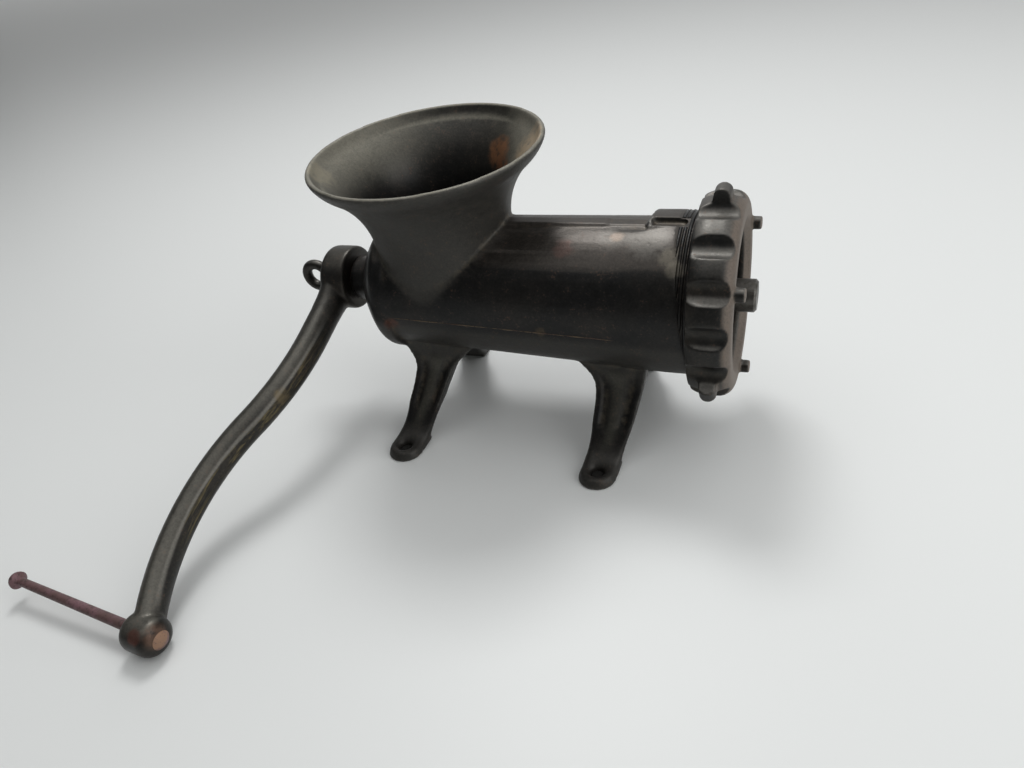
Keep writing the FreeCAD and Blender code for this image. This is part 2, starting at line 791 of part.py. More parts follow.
def make_ring(doc, d):
    """Ring nut with a scalloped crown, three grip lugs and three pegs on its face."""
    body = new_body(doc, "ring_nut", d)
    seat = recess_start(d) + d.plate_thickness
    bore = d.thread_radius + d.running_gap
    crown_front = bulge_radius(d.ring_face - d.ring_crown_front, d.ring_radius - d.ring_face_radius)
    crown_rear = bulge_radius(d.ring_crown_rear - d.ring_rear, d.ring_radius - d.ring_rear_radius)
    section = new_sketch(body, "ring_outline", "XZ_Plane")
    draw_outline(section, [
        (d.ring_rear, bore),
        (seat, bore),
        (seat, d.ring_opening),
        (d.ring_face - d.ring_chamfer, d.ring_opening),
        (d.ring_face, d.ring_opening + d.ring_chamfer),
        (d.ring_face, d.ring_face_radius, crown_front),
        (d.ring_crown_front, d.ring_radius),
        (d.ring_crown_rear, d.ring_radius, crown_rear),
        (d.ring_rear, d.ring_rear_radius),
    ])
    turn_profile(body, "ring", section)
    cutter = new_sketch(body, "scallop_outline", "YZ_Plane")
    step = 360 / DIMENSIONS["scallop_count"]
    draw_circle(cutter, on_circle(d.ring_radius - d.scallop_depth + d.scallop_radius, step / 2), d.scallop_radius)
    scallop = cut_away(body, "scallop", cutter)
    repeat_round(body, "scallops", [scallop], d.scallop_count)
    lug = new_sketch(body, "lug_outline", "XZ_Plane")
    left, right = d.lug_x - d.lug_width / 2, d.lug_x + d.lug_width / 2
    shoulder = d.lug_tip - d.lug_width / 2
    root = d.thread_radius + d.scallop_depth
    draw_outline(lug, [
        (left, root),
        (right, root),
        (right, shoulder, d.lug_width / 2 * FLATTER),
        (d.lug_x, d.lug_tip, d.lug_width / 2 * FLATTER),
        (left, shoulder),
    ])
    grip = extrude(body, "lug", lug, d.lug_length, both_ways=True)
    repeat_round(body, "lugs", [grip], d.lug_count)
    peg_root = d.ring_face - d.ring_chamfer
    peg = new_sketch(body, "peg_outline", "YZ_Plane", shift=(0, 0, peg_root))
    draw_circle(peg, on_circle(d.peg_circle, 180 / d.lug_count.value), d.peg_radius)
    stub = extrude(body, "peg", peg, d.peg_end - peg_root)
    repeat_round(body, "pegs", [stub], d.lug_count)
    return body


def rest_angle(d):
    """Turn of the crank about the worm axis that lays its end boss on the table."""
    reach = arm_reach(d)
    drop = d.axis_height - d.boss_radius - d.boss_lift
    value = math.degrees(math.asin(drop.value / reach.value)) - 90
    return Size(value, "(asin(%s / %s) / 1deg - 90)" % (drop.text, reach.text))


def arm_reach(d):
    return (d.arm_straight + d.bow_out_radius * sine(d.bow_out_angle)
            + d.bow_back_radius * (sine(d.bow_out_angle) + sine(d.bow_back_angle)))


def arm_end_x(d):
    out, back = cosine(d.bow_out_angle), cosine(d.bow_back_angle)
    return d.arm_x - d.bow_out_radius * (1 - out) - d.bow_back_radius * (back - out)


def on_boss(d, name, body):
    """An empty sketch whose first axis is the spindle's own, with its origin at the end of the arm."""
    return new_sketch(body, name, "XZ_Plane", shift=(arm_end_x(d), -arm_reach(d), 0), turn=-d.spindle_tilt)


def boss_ends(d):
    """Outer and inner face of the boss along the spindle."""
    return -(d.boss_length / 2 + d.boss_shift), d.boss_length / 2 - d.boss_shift


def lay_down(body, d):
    """Turns a piece of the crank about the worm axis to its resting place."""
    body.Placement = FreeCAD.Placement(FreeCAD.Vector(), FreeCAD.Rotation(FreeCAD.Vector(1, 0, 0), 1))
    body.setExpression("Placement.Base.z", d.axis_height.text)
    body.setExpression("Placement.Rotation.Angle", rest_angle(d).text)


def make_crank(doc, d):
    """Crank: a hub on the worm's square tang, a bowed arm and an end boss."""
    body = new_body(doc, "crank_arm", d)
    rim = new_sketch(body, "hub_outline", "XZ_Plane")
    rear = d.hub_front - d.hub_length
    draw_outline(rim, [
        (rear, 0),
        (d.hub_front, 0),
        (d.hub_front, d.hub_radius - d.hub_edge, d.hub_edge * FLATTER),
        (d.hub_front - d.hub_edge, d.hub_radius),
        (rear + d.hub_outer_edge, d.hub_radius, d.hub_outer_edge * FLATTER),
        (rear, d.hub_radius - d.hub_outer_edge),
    ])
    turn_profile(body, "hub", rim)
    turn_x = d.arm_x - d.bow_out_radius * (1 - cosine(d.bow_out_angle))
    turn_z = -(d.arm_straight + d.bow_out_radius * sine(d.bow_out_angle))
    path = new_sketch(body, "arm_path", "XZ_Plane")
    start = (d.arm_x, -d.journal_radius)
    bend = (d.arm_x, -d.arm_straight)
    turn = (turn_x, turn_z)
    end = (arm_end_x(d), -arm_reach(d))
    draw_path(path, [start, bend + (-d.bow_out_radius,), turn + (d.bow_back_radius,), end])
    doc.recompute()
    root = new_sketch(body, "arm_root", "XY_Plane", shift=(0, 0, -d.journal_radius))
    draw_lens(root, (d.arm_x, 0), d.arm_half_width, d.arm_half_depth)
    tip = body.newObject("Sketcher::SketchObject", "arm_tip")
    tip.AttachmentSupport = [(path, "Edge3"), (path, "Vertex4")]
    tip.MapMode = "NormalToEdge"
    draw_lens(tip, (0, 0), d.arm_end_half_width, d.arm_end_half_depth, sideways=True)
    doc.recompute()
    arm = body.newObject("PartDesign::AdditivePipe", "arm")
    arm.Profile = root
    arm.Spine = (path, ["Edge1", "Edge2", "Edge3"])
    arm.Sections = [tip]
    arm.Transformation = "Multisection"
    add_neck(body, d)
    boss = on_boss(d, "boss_outline", body)
    outer, inner = boss_ends(d)
    edge = d.boss_edge
    draw_outline(boss, [
        (outer, 0),
        (inner, 0),
        (inner, d.boss_radius - edge, edge * FLATTER),
        (inner - edge, d.boss_radius),
        (outer + edge, d.boss_radius, edge * FLATTER),
        (outer, d.boss_radius - edge),
    ])
    turn_profile(body, "boss", boss)
    eye = new_sketch(body, "hub_eye_outline", "YZ_Plane", shift=(0, 0, d.hub_front + OVERRUN))
    draw_square(eye, d.tang_side + d.seat_gap * 2)
    cut_away(body, "hub_eye", eye, d.hub_length + OVERRUN * 2)
    bore = on_boss(d, "boss_bore_outline", body)
    draw_outline(bore, [
        (outer - OVERRUN, 0),
        (inner + OVERRUN, 0),
        (inner + OVERRUN, d.spindle_radius),
        (outer - OVERRUN, d.spindle_radius),
    ])
    turn_profile(body, "boss_bore", bore, cut=True)
    lay_down(body, d)
    return body


def add_neck(body, d):
    """Widens the arm where it grows out of the hub."""
    sections = []
    for number, level in enumerate(NECK_LEVELS):
        spread = (1 - level) ** 2
        section = new_sketch(body, "neck_section_%d" % number, "XY_Plane",
                             shift=(0, 0, -(d.journal_radius + d.neck_length * level)))
        draw_lens(section, (d.arm_x, 0), d.arm_half_width + (d.neck_half_width - d.arm_half_width) * spread,
                  d.arm_half_depth + (d.neck_half_depth - d.arm_half_depth) * spread)
        sections.append(section)
    neck = body.newObject("PartDesign::AdditiveLoft", "neck")
    neck.Profile = sections[0]
    neck.Sections = sections[1:]


def draw_path(sketch, corners):
    """An open run of lines and arcs, each arc with the radius that its first corner gives."""
    points = [FreeCAD.Vector(c[0].value, as_size(c[1]).value, 0) for c in corners]
    last = None
    for index, corner in enumerate(corners[:-1]):
        start, finish = points[index], points[index + 1]
        if len(corner) == 2:
            geometry = sketch.addGeometry(Part.LineSegment(start, finish), False)
        else:
            geometry = sketch.addGeometry(arc_between(start, finish, corner[2].value), False)
        forward = (sketch.getPoint(geometry, 1) - start).Length < (sketch.getPoint(geometry, 2) - start).Length
        near, far = (1, 2) if forward else (2, 1)
        fix_point(sketch, geometry, near, corner[:2])
        if len(corner) == 3:
            radius = corner[2]
            fix_radius(sketch, geometry, radius if radius.value > 0 else -radius)
        if last:
            sketch.addConstraint(Sketcher.Constraint("Coincident", last[0], last[1], geometry, near))
        last = (geometry, far)
    fix_point(sketch, last[0], last[1], corners[-1][:2])


def draw_lens(sketch, centre, half_width, half_depth, sideways=False):
    """Oval section with a soft ridge down the front and back of the arm."""
    radius = (half_width * half_width + half_depth * half_depth) / (half_width * 2)
    if sideways:
        ends = [(centre[0] - half_depth, centre[1]), (centre[0] + half_depth, centre[1])]
    else:
        ends = [(centre[0], centre[1] - half_depth), (centre[0], centre[1] + half_depth)]
    draw_outline(sketch, [ends[0] + (radius,), ends[1] + (radius,)])


def make_spindle(doc, d):
    """Bare grip spindle, headed at its free end and peened over on the inner side of the boss."""
    body = new_body(doc, "grip_spindle", d)
    profile = on_boss(d, "spindle_outline", body)
    outer, inner = boss_ends(d)
    head = outer - d.spindle_length
    cap = d.spindle_head_length - d.spindle_head_edge
    draw_outline(profile, [
        (head - cap, 0),
        (inner + d.rivet_height, 0, bulge_radius(d.rivet_radius, d.rivet_height)),
        (inner, d.rivet_radius),
        (inner, d.spindle_radius),
        (outer, d.spindle_radius),
        (head + d.spindle_head_edge, d.spindle_tip_radius),
        (head, d.spindle_head_radius, bulge_radius(d.spindle_head_radius, cap)),
    ])
    turn_profile(body, "spindle", profile)
    lay_down(body, d)
    return body


def make_screw_washer(doc, d):
    """Plain washer between the thumb screw and the crank's hub."""
    body = new_body(doc, "screw_washer", d)
    face = new_sketch(body, "washer_outline", "YZ_Plane", shift=(0, 0, d.hub_front - d.hub_length))
    draw_circle(face, (0, 0), d.screw_washer_radius)
    draw_circle(face, (0, 0), d.screw_radius + d.loose_gap)
    extrude(body, "washer", face, d.screw_washer_thickness, reverse=True)
    return body


def make_thumb_screw(doc, d):
    """Thumb screw with a ring-shaped head, which holds the crank on the worm."""
    body = new_body(doc, "thumb_screw", d)
    seat = d.hub_front - d.hub_length - d.screw_washer_thickness
    loop_x = seat - d.screw_shoulder_length - d.loop_radius - d.loop_stand
    shank = new_sketch(body, "shank_outline", "XZ_Plane")
    draw_outline(shank, [
        (loop_x + d.loop_radius, 0),
        (seat + d.screw_depth, 0),
        (seat + d.screw_depth, d.screw_radius - d.screw_chamfer),
        (seat + d.screw_depth - d.screw_chamfer, d.screw_radius),
        (seat, d.screw_radius),
        (seat, d.screw_shoulder_radius),
        (seat - d.screw_shoulder_length, d.screw_shoulder_radius - d.screw_chamfer),
        (seat - d.screw_shoulder_length, d.loop_wire),
        (loop_x + d.loop_radius, d.loop_wire),
    ])
    turn_profile(body, "shank", shank)
    wire = new_sketch(body, "wire_outline", "XY_Plane", shift=(loop_x, 0, 0))
    draw_circle(wire, (d.loop_radius, 0), d.loop_wire)
    turn_profile(body, "loop", wire, axis="V_Axis")
    return body


def check(doc):
    for item in doc.Objects:
        if "Invalid" in item.State or "Error" in item.State:
            raise RuntimeError("%s did not build: %s" % (item.Name, item.State))


def write_step(piece):
    shape = piece.Shape
    if shape.isNull() or not shape.isValid() or len(shape.Solids) != 1:
        raise RuntimeError("%s is not one sound solid" % piece.Label)
    shape.exportStep("parts/%s.step" % piece.Label)


def main():
    doc = FreeCAD.newDocument("meat_grinder")
    sizes = write_sheet(doc)
    makers = (make_housing, make_key, make_thrust_washer, make_plate, make_knife, make_worm, make_stud,
              make_ring, make_crank, make_spindle, make_screw_washer, make_thumb_screw)
    pieces = [maker(doc, sizes) for maker in makers]
    doc.recompute()
    check(doc)
    for piece in pieces:
        write_step(piece)


main()
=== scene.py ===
import math

import bmesh
import bpy
import numpy as np
from mathutils import Matrix, Vector, kdtree


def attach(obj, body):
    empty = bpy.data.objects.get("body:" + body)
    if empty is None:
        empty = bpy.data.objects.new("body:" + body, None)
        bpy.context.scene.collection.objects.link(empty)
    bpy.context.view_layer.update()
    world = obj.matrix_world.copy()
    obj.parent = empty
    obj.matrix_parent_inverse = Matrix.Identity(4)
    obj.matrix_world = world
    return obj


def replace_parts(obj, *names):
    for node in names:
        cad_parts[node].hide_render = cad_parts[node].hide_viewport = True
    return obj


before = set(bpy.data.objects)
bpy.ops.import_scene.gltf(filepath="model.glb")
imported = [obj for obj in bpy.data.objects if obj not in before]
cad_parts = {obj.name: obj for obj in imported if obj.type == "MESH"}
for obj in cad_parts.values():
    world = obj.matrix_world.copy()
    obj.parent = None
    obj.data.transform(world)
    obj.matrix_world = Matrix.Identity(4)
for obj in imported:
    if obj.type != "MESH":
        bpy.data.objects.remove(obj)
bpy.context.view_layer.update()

# Everything is in metres, in the frame of the construction model: X along the worm, Z up.
MM = 0.001
AXIS_HEIGHT = 109 * MM

# Mouth thread. It fades out on a slant, so it starts further back on top of the nose than beside it.
THREAD_START = 121 * MM
THREAD_END = 152 * MM
THREAD_FADE = 130.4 * MM
THREAD_SLANT = 0.14
THREAD_PITCH = 3 * MM
THREAD_CREST = 53.95 * MM
THREAD_DEPTH = 0.8 * MM
THREAD_STEPS = 120
KEYWAY_SIDES = (-10.2 * MM, -0.8 * MM)
KEYWAY_END = 128.7 * MM
RING_REAR = 135.2 * MM

# The barrel's skin leans, and the nose swells evenly out of it except beside the rib and the keyway.
# The skin's two ends are each a place on X and a radius.
SKIN_REAR = (-79 * MM, 47.6 * MM)
SKIN_FRONT = (100 * MM, 51.4 * MM)
SKIN_SLOPE = math.sin(math.radians(1))
SWELL_START = 78 * MM
SWELL_END = 126 * MM
NOSE_START = 104 * MM
NOSE_TAPER = 6 * MM
NOSE_ROOT = 50.5 * MM
NOSE_RADIUS = 54 * MM
BORE_LIMIT = 47.6 * MM
BESIDE_KEYWAY = (math.radians(13.5), math.radians(11.2))

# Joint line left by the two halves of the mould, on the near and far side of the barrel.
# Its two ends are each a place on X and a radius.
SEAM_REAR = (-86 * MM, 47.35 * MM)
SEAM_FRONT = (99 * MM, 51.3 * MM)
SEAM_ANGLE = 98
SEAM_STEPS = 260

# Hopper axis: it passes the rim's middle and leans a little to the near side.
RIM_MIDDLE = np.array([-46, 0, 211.3]) * MM
HOPPER_AXIS = np.array([0, -math.sin(math.radians(2.4)), math.cos(math.radians(2.4))])
THROAT_RADIUS = 50.4 * MM

# Legs and feet. Each corner of the painted-shade plug in a screw hole is a radius and a height in
# millimetres.
HOLE_PLACE = (76 * MM, 73.8 * MM)
PLUG_OUTLINE = ((0.0, 2.6), (2.2, 2.4), (4.0, 2.0), (5.4, 1.7), (5.4, 0.6), (0.0, 0.6))
PLUG_SIDES = 24
LEG_TOP = 66 * MM
LEG_RIDGE = 0.9 * MM
LEG_CHANNEL = 0.6 * MM

# Easing of a mesh. The two depths are in voxels: how far a place stands out or lies in for a full mask.
WELD = 0.002 * MM
CUT_TOLERANCE = 0.001 * MM
EASING = 0.5
ZONE_EASING = 0.6
FOOT_PASSES = 130
SKIRT_PASSES = 60
MASK_PASSES = 4
EDGE_DEPTH = 0.6
HOLLOW_DEPTH = 0.45
MOST_TRIANGLES = 190000

# Camera of the photograph, fitted to the circles and straight edges in it.
CAMERA_PLACE = (202.8 * MM, -440.2 * MM, 365.9 * MM)
CAMERA_PITCH = 35.42
CAMERA_ROLL = -10.25
CAMERA_YAW = -26.12
FOCAL_PIXELS = 750
PHOTO_WIDTH = 1024
SENSOR_WIDTH = 36
FLOOR_HALF = 6.0

# Node settings that are used again and again.
COLOUR = {"data_type": "RGBA"}
SOFT = {"interpolation_type": "SMOOTHSTEP"}
TIMES = {"operation": "MULTIPLY", "use_clamp": True}
PLUS = {"operation": "ADD", "use_clamp": True}
MINUS = {"operation": "SUBTRACT", "use_clamp": True}


def linear(code):
    """An sRGB hex colour as linear RGBA."""
    parts = [int(code[i:i + 2], 16) / 255 for i in (1, 3, 5)]
    return tuple(p / 12.92 if p <= 0.04045 else ((p + 0.055) / 1.055) ** 2.4 for p in parts) + (1.0,)


def add(tree, kind, settings, inputs):
    """Adds a node with its settings; each of its inputs gets a value or another node's output."""
    node = tree.nodes.new(kind)
    for name, value in settings.items():
        setattr(node, name, value)
    for key, value in inputs.items():
        if isinstance(key, int):
            socket = node.inputs[key]
        else:
            socket = next(s for s in node.inputs if s.enabled and s.name == key)
        if isinstance(value, bpy.types.Node):
            value = next(output for output in value.outputs if output.enabled)
        if isinstance(value, bpy.types.NodeSocket):
            tree.links.new(value, socket)
        else:
            socket.default_value = value
    return node


# Materials


def blank_material(name):
    """A material with an empty node tree."""
    material = bpy.data.materials.new(name)
    material.use_nodes = True
    material.node_tree.nodes.clear()
    return material


def add_spots(tree, skin, place, ragged, spots):
    """Lays soft, ragged stains over a colour.

    Each stain has its middle and its radius in millimetres, its colour and its strength.
    """
    for centre, radius, colour, strength in spots:
        away = add(tree, "ShaderNodeVectorMath", {"operation": "DISTANCE"}, {
            0: place, 1: tuple(value * MM for value in centre)})
        near = add(tree, "ShaderNodeMapRange", SOFT, {
            "Value": away, "From Min": radius * MM, "From Max": 0.2 * radius * MM})
        patchy = add(tree, "ShaderNodeMath", TIMES, {0: near, 1: ragged})
        mask = add(tree, "ShaderNodeMapRange", SOFT, {
            "Value": patchy, "From Min": 0.04, "From Max": 0.66, "To Max": strength})
        skin = add(tree, "ShaderNodeMix", COLOUR, {"Factor": mask, "A": skin, "B": linear(colour)})
    return skin


def old_iron(name, dark, brown, rough, top, wear_and_light, spots=(), wear=0.6, dirt=0.5, gloss=0.34):
    """Old cast or forged iron: half metallic oxide skin, brown bloom, rubbed edges, dirt in the creases.

    The colours are the skin's dark and brown sides, its rough parts, its upper side, which is painted light
    from above, and its bare metal, which also carries painted light and painted highlights.
    """
    material = blank_material(name)
    tree = material.node_tree
    place = add(tree, "ShaderNodeTexCoord", {}, {}).outputs["Object"]
    cloud = add(tree, "ShaderNodeTexNoise", {}, {
        "Vector": place, "Scale": 1 / (38 * MM), "Detail": 5.0, "Roughness": 0.6})
    mottle = add(tree, "ShaderNodeTexNoise", {}, {
        "Vector": place, "Scale": 1 / (6 * MM), "Detail": 6.0, "Roughness": 0.65})
    sand = add(tree, "ShaderNodeTexNoise", {}, {
        "Vector": place, "Scale": 1 / (1.4 * MM), "Detail": 3.0, "Roughness": 0.6})
    is_edge, is_hollow, is_rough, is_lit_top, is_wear_and_light, is_streaked = (
        add(tree, "ShaderNodeAttribute", {"attribute_name": label}, {}).outputs["Fac"]
        for label in ("edge", "hollow", "rough", "top", "wear_and_light", "streak"))

    # Skin: near-black oxide with a brown bloom, then the rough places, the faces that look up lightened as
    # painted light from above, and the rubbed places, some of them painted light and painted highlights.
    bloom = add(tree, "ShaderNodeMapRange", SOFT, {"Value": cloud, "From Min": 0.38, "From Max": 0.7})
    skin = add(tree, "ShaderNodeMix", COLOUR, {"Factor": bloom, "A": linear(dark), "B": linear(brown)})
    skin = add(tree, "ShaderNodeMix", COLOUR, {"Factor": is_rough, "A": skin, "B": linear(rough)})
    # Painted light from above: faces that look up are lightened.
    skin = add(tree, "ShaderNodeMix", COLOUR, {"Factor": is_lit_top, "A": skin, "B": linear(top)})
    # Bare metal where rubbed, and painted light and painted highlights where the masks put them.
    skin = add(tree, "ShaderNodeMix", COLOUR, {"Factor": is_wear_and_light, "A": skin, "B": linear(wear_and_light)})
    grain = add(tree, "ShaderNodeMapRange", {}, {
        "Value": sand, "From Min": 0.3, "From Max": 0.7, "To Min": 0.82, "To Max": 1.18})
    patch = add(tree, "ShaderNodeMapRange", {}, {
        "Value": mottle, "From Min": 0.3, "From Max": 0.7, "To Min": 0.84, "To Max": 1.16})
    shade = add(tree, "ShaderNodeMath", {"operation": "MULTIPLY"}, {0: grain, 1: patch})
    skin = add(tree, "ShaderNodeVectorMath", {"operation": "SCALE"}, {"Vector": skin, "Scale": shade})

    # Streaks: old grease and scratches that follow the crank's bowed arm.
    bow = add(tree, "ShaderNodeAttribute", {"attribute_name": "bow"}, {}).outputs["Fac"]
    bow = add(tree, "ShaderNodeCombineXYZ", {}, {"Z": bow})
    straight = add(tree, "ShaderNodeVectorMath", {"operation": "SUBTRACT"}, {0: place, 1: bow})
    drawn = add(tree, "ShaderNodeMapping", {}, {"Vector": straight, "Scale": (0.6, 0.045, 1)})
    lines = add(tree, "ShaderNodeTexNoise", {}, {
        "Vector": drawn, "Scale": 1 / (2.4 * MM), "Detail": 4.0, "Roughness": 0.7})
    grease = add(tree, "ShaderNodeMapRange", SOFT, {"Value": lines, "From Min": 0.46, "From Max": 0.66})
    grease = add(tree, "ShaderNodeMath", TIMES, {0: grease, 1: is_streaked})
    skin = add(tree, "ShaderNodeMix", COLOUR, {"Factor": grease, "A": skin, "B": linear("#6e6347")})

    # Tan dirt in the creases, rust freckles, then the larger stains, some of them partly painted light and
    # painted highlights.
    ragged = add(tree, "ShaderNodeMapRange", SOFT, {"Value": mottle, "From Min": 0.36, "From Max": 0.62})
    crumbs = add(tree, "ShaderNodeMath", TIMES, {0: is_hollow, 1: ragged})
    crumbs = add(tree, "ShaderNodeMath", TIMES, {0: crumbs, 1: dirt})
    skin = add(tree, "ShaderNodeMix", COLOUR, {"Factor": crumbs, "A": skin, "B": linear("#857a66")})
    freckle = add(tree, "ShaderNodeMath", TIMES, {0: sand, 1: mottle})
    freckle = add(tree, "ShaderNodeMapRange", SOFT, {
        "Value": freckle, "From Min": 0.31, "From Max": 0.43, "To Max": 0.4})
    skin = add(tree, "ShaderNodeMix", COLOUR, {"Factor": freckle, "A": skin, "B": linear("#59402f")})
    smooth = add(tree, "ShaderNodeMath", MINUS, {0: 1.0, 1: is_rough})
    broken = add(tree, "ShaderNodeMapRange", SOFT, {"Value": mottle, "From Min": 0.15, "From Max": 0.7})
    broken = add(tree, "ShaderNodeMath", TIMES, {0: broken, 1: smooth})
    skin = add_spots(tree, skin, place, broken, spots)

    # Rubbed edges: bright where hands and cloths reach them.
    shining = add(tree, "ShaderNodeMapRange", SOFT, {
        "Value": is_edge, "From Min": 0.25, "From Max": 0.95, "To Max": wear})
    uneven = add(tree, "ShaderNodeMapRange", {}, {
        "Value": mottle, "From Min": 0.3, "From Max": 0.6, "To Min": 0.4})
    shining = add(tree, "ShaderNodeMath", TIMES, {0: shining, 1: uneven})
    skin = add(tree, "ShaderNodeMix", COLOUR, {"Factor": shining, "A": skin, "B": linear("#98958f")})

    # Finish: glossiest where it is oiled, dull where it is rough or rusty.
    matt = add(tree, "ShaderNodeMath", PLUS, {0: freckle, 1: is_rough})
    matt = add(tree, "ShaderNodeMath", PLUS, {0: matt, 1: is_wear_and_light})
    matt = add(tree, "ShaderNodeMath", PLUS, {0: matt, 1: crumbs})
    even = add(tree, "ShaderNodeMapRange", {}, {
        "Value": mottle, "From Min": 0.25, "From Max": 0.75,
        "To Min": gloss - 0.06, "To Max": gloss + 0.08})
    dull = add(tree, "ShaderNodeMath", TIMES, {0: matt, 1: 0.18})
    shine = add(tree, "ShaderNodeMath", PLUS, {0: even, 1: dull})
    metal = add(tree, "ShaderNodeMapRange", {}, {"Value": matt, "To Min": 0.72, "To Max": 0.3})

    # Sand-cast grain with a few shallow pits.
    grit = add(tree, "ShaderNodeMath", TIMES, {0: sand, 1: 0.5})
    waves = add(tree, "ShaderNodeMath", TIMES, {0: mottle, 1: 0.7})
    height = add(tree, "ShaderNodeMath", PLUS, {0: grit, 1: waves})
    pits = add(tree, "ShaderNodeTexVoronoi", {}, {"Vector": place, "Scale": 1 / (9 * MM)})
    hole = add(tree, "ShaderNodeMapRange", SOFT, {
        "Value": pits.outputs["Distance"], "From Min": 0.14, "From Max": 0.04, "To Max": 0.4})
    height = add(tree, "ShaderNodeMath", MINUS, {0: height, 1: hole})
    strength = add(tree, "ShaderNodeMapRange", {}, {"Value": matt, "To Min": 0.28, "To Max": 0.5})
    bump = add(tree, "ShaderNodeBump", {}, {
        "Height": height, "Strength": strength, "Distance": 0.4 * MM})
    shader = add(tree, "ShaderNodeBsdfPrincipled", {}, {
        "Base Color": skin, "Roughness": shine, "Metallic": metal, "Normal": bump})
    add(tree, "ShaderNodeOutputMaterial", {}, {"Surface": shader})
    return material


def bare_steel(name, bright, dull, spots=(), roughness=0.36):
    """Turned or ground steel gone dull: metallic, with fine marks round the worm axis and brown stains."""
    material = blank_material(name)
    tree = material.node_tree
    place = add(tree, "ShaderNodeTexCoord", {}, {}).outputs["Object"]
    cloud = add(tree, "ShaderNodeTexNoise", {}, {
        "Vector": place, "Scale": 1 / (14 * MM), "Detail": 5.0, "Roughness": 0.65})
    fine = add(tree, "ShaderNodeTexNoise", {}, {"Vector": place, "Scale": 1 / (1.6 * MM), "Detail": 3.0})
    stain = add(tree, "ShaderNodeMapRange", SOFT, {"Value": cloud, "From Min": 0.35, "From Max": 0.65})
    skin = add(tree, "ShaderNodeMix", COLOUR, {"Factor": stain, "A": linear(bright), "B": linear(dull)})
    specks = add(tree, "ShaderNodeMapRange", SOFT, {
        "Value": fine, "From Min": 0.55, "From Max": 0.75, "To Max": 0.6})
    skin = add(tree, "ShaderNodeMix", COLOUR, {"Factor": specks, "A": skin, "B": linear("#4a4038")})
    ragged = add(tree, "ShaderNodeMapRange", SOFT, {"Value": cloud, "From Min": 0.2, "From Max": 0.5})
    skin = add_spots(tree, skin, place, ragged, spots)
    centred = add(tree, "ShaderNodeMapping", {}, {"Vector": place, "Location": (0, 0, -AXIS_HEIGHT)})
    rings = add(tree, "ShaderNodeTexWave", {"wave_type": "RINGS", "rings_direction": "X"}, {
        "Vector": centred, "Scale": 1 / (3.2 * MM), "Distortion": 1.5, "Detail": 2.0})
    marks = add(tree, "ShaderNodeMath", TIMES, {0: rings.outputs["Fac"], 1: 0.3})
    height = add(tree, "ShaderNodeMath", PLUS, {0: marks, 1: fine})
    bump = add(tree, "ShaderNodeBump", {}, {"Height": height, "Strength": 0.2, "Distance": 0.15 * MM})
    shine = add(tree, "ShaderNodeMapRange", {}, {
        "Value": cloud, "From Min": 0.3, "From Max": 0.7,
        "To Min": roughness - 0.06, "To Max": roughness + 0.14})
    shader = add(tree, "ShaderNodeBsdfPrincipled", {}, {
        "Base Color": skin, "Roughness": shine, "Metallic": 0.85, "Normal": bump})
    add(tree, "ShaderNodeOutputMaterial", {}, {"Surface": shader})
    return material


def matt_stain(name, light, mid, dark, grain, spots=(), roughness=0.55):
    """Rust, old oil and the painted shade in the screw holes: matt clouds of two browns with darker flecks,
    hardly metallic.
    """
    material = blank_material(name)
    tree = material.node_tree
    place = add(tree, "ShaderNodeTexCoord", {}, {}).outputs["Object"]
    cloud = add(tree, "ShaderNodeTexNoise", {}, {
        "Vector": place, "Scale": 1 / (5 * grain), "Detail": 5.0})
    fleck = add(tree, "ShaderNodeTexNoise", {}, {
        "Vector": place, "Scale": 1 / grain, "Detail": 4.0, "Roughness": 0.7})
    stain = add(tree, "ShaderNodeMapRange", SOFT, {"Value": cloud, "From Min": 0.38, "From Max": 0.62})
    skin = add(tree, "ShaderNodeMix", COLOUR, {"Factor": stain, "A": linear(light), "B": linear(mid)})
    spotted = add(tree, "ShaderNodeMapRange", SOFT, {"Value": fleck, "From Min": 0.48, "From Max": 0.7})
    skin = add(tree, "ShaderNodeMix", COLOUR, {"Factor": spotted, "A": skin, "B": linear(dark)})
    ragged = add(tree, "ShaderNodeMapRange", SOFT, {"Value": fleck, "From Min": 0.3, "From Max": 0.55})
    skin = add_spots(tree, skin, place, ragged, spots)
    bump = add(tree, "ShaderNodeBump", {}, {"Height": fleck, "Strength": 0.4, "Distance": 0.3 * MM})
    shine = add(tree, "ShaderNodeMapRange", {}, {
        "Value": fleck, "From Min": 0.3, "From Max": 0.7,
        "To Min": roughness - 0.1, "To Max": roughness + 0.1})
    shader = add(tree, "ShaderNodeBsdfPrincipled", {}, {
        "Base Color": skin, "Roughness": shine, "Metallic": 0.12, "Normal": bump})
    add(tree, "ShaderNodeOutputMaterial", {}, {"Surface": shader})
    return material


# Shapes


def vertices_of(mesh):
    """Every vertex's place, one row each."""
    places = np.empty(len(mesh.vertices) * 3)
    mesh.vertices.foreach_get("co", places)
    return places.reshape(-1, 3)


def normals_of(mesh):
    """Every vertex's normal, one row each."""
    normals = np.empty(len(mesh.vertices) * 3)
    mesh.vertex_normals.foreach_get("vector", normals)
    return normals.reshape(-1, 3)


def step(values, low, high):
    """A soft step from 0 at low to 1 at high."""
    share = np.clip((values - low) / (high - low), 0, 1)
    return share * share * (3 - 2 * share)


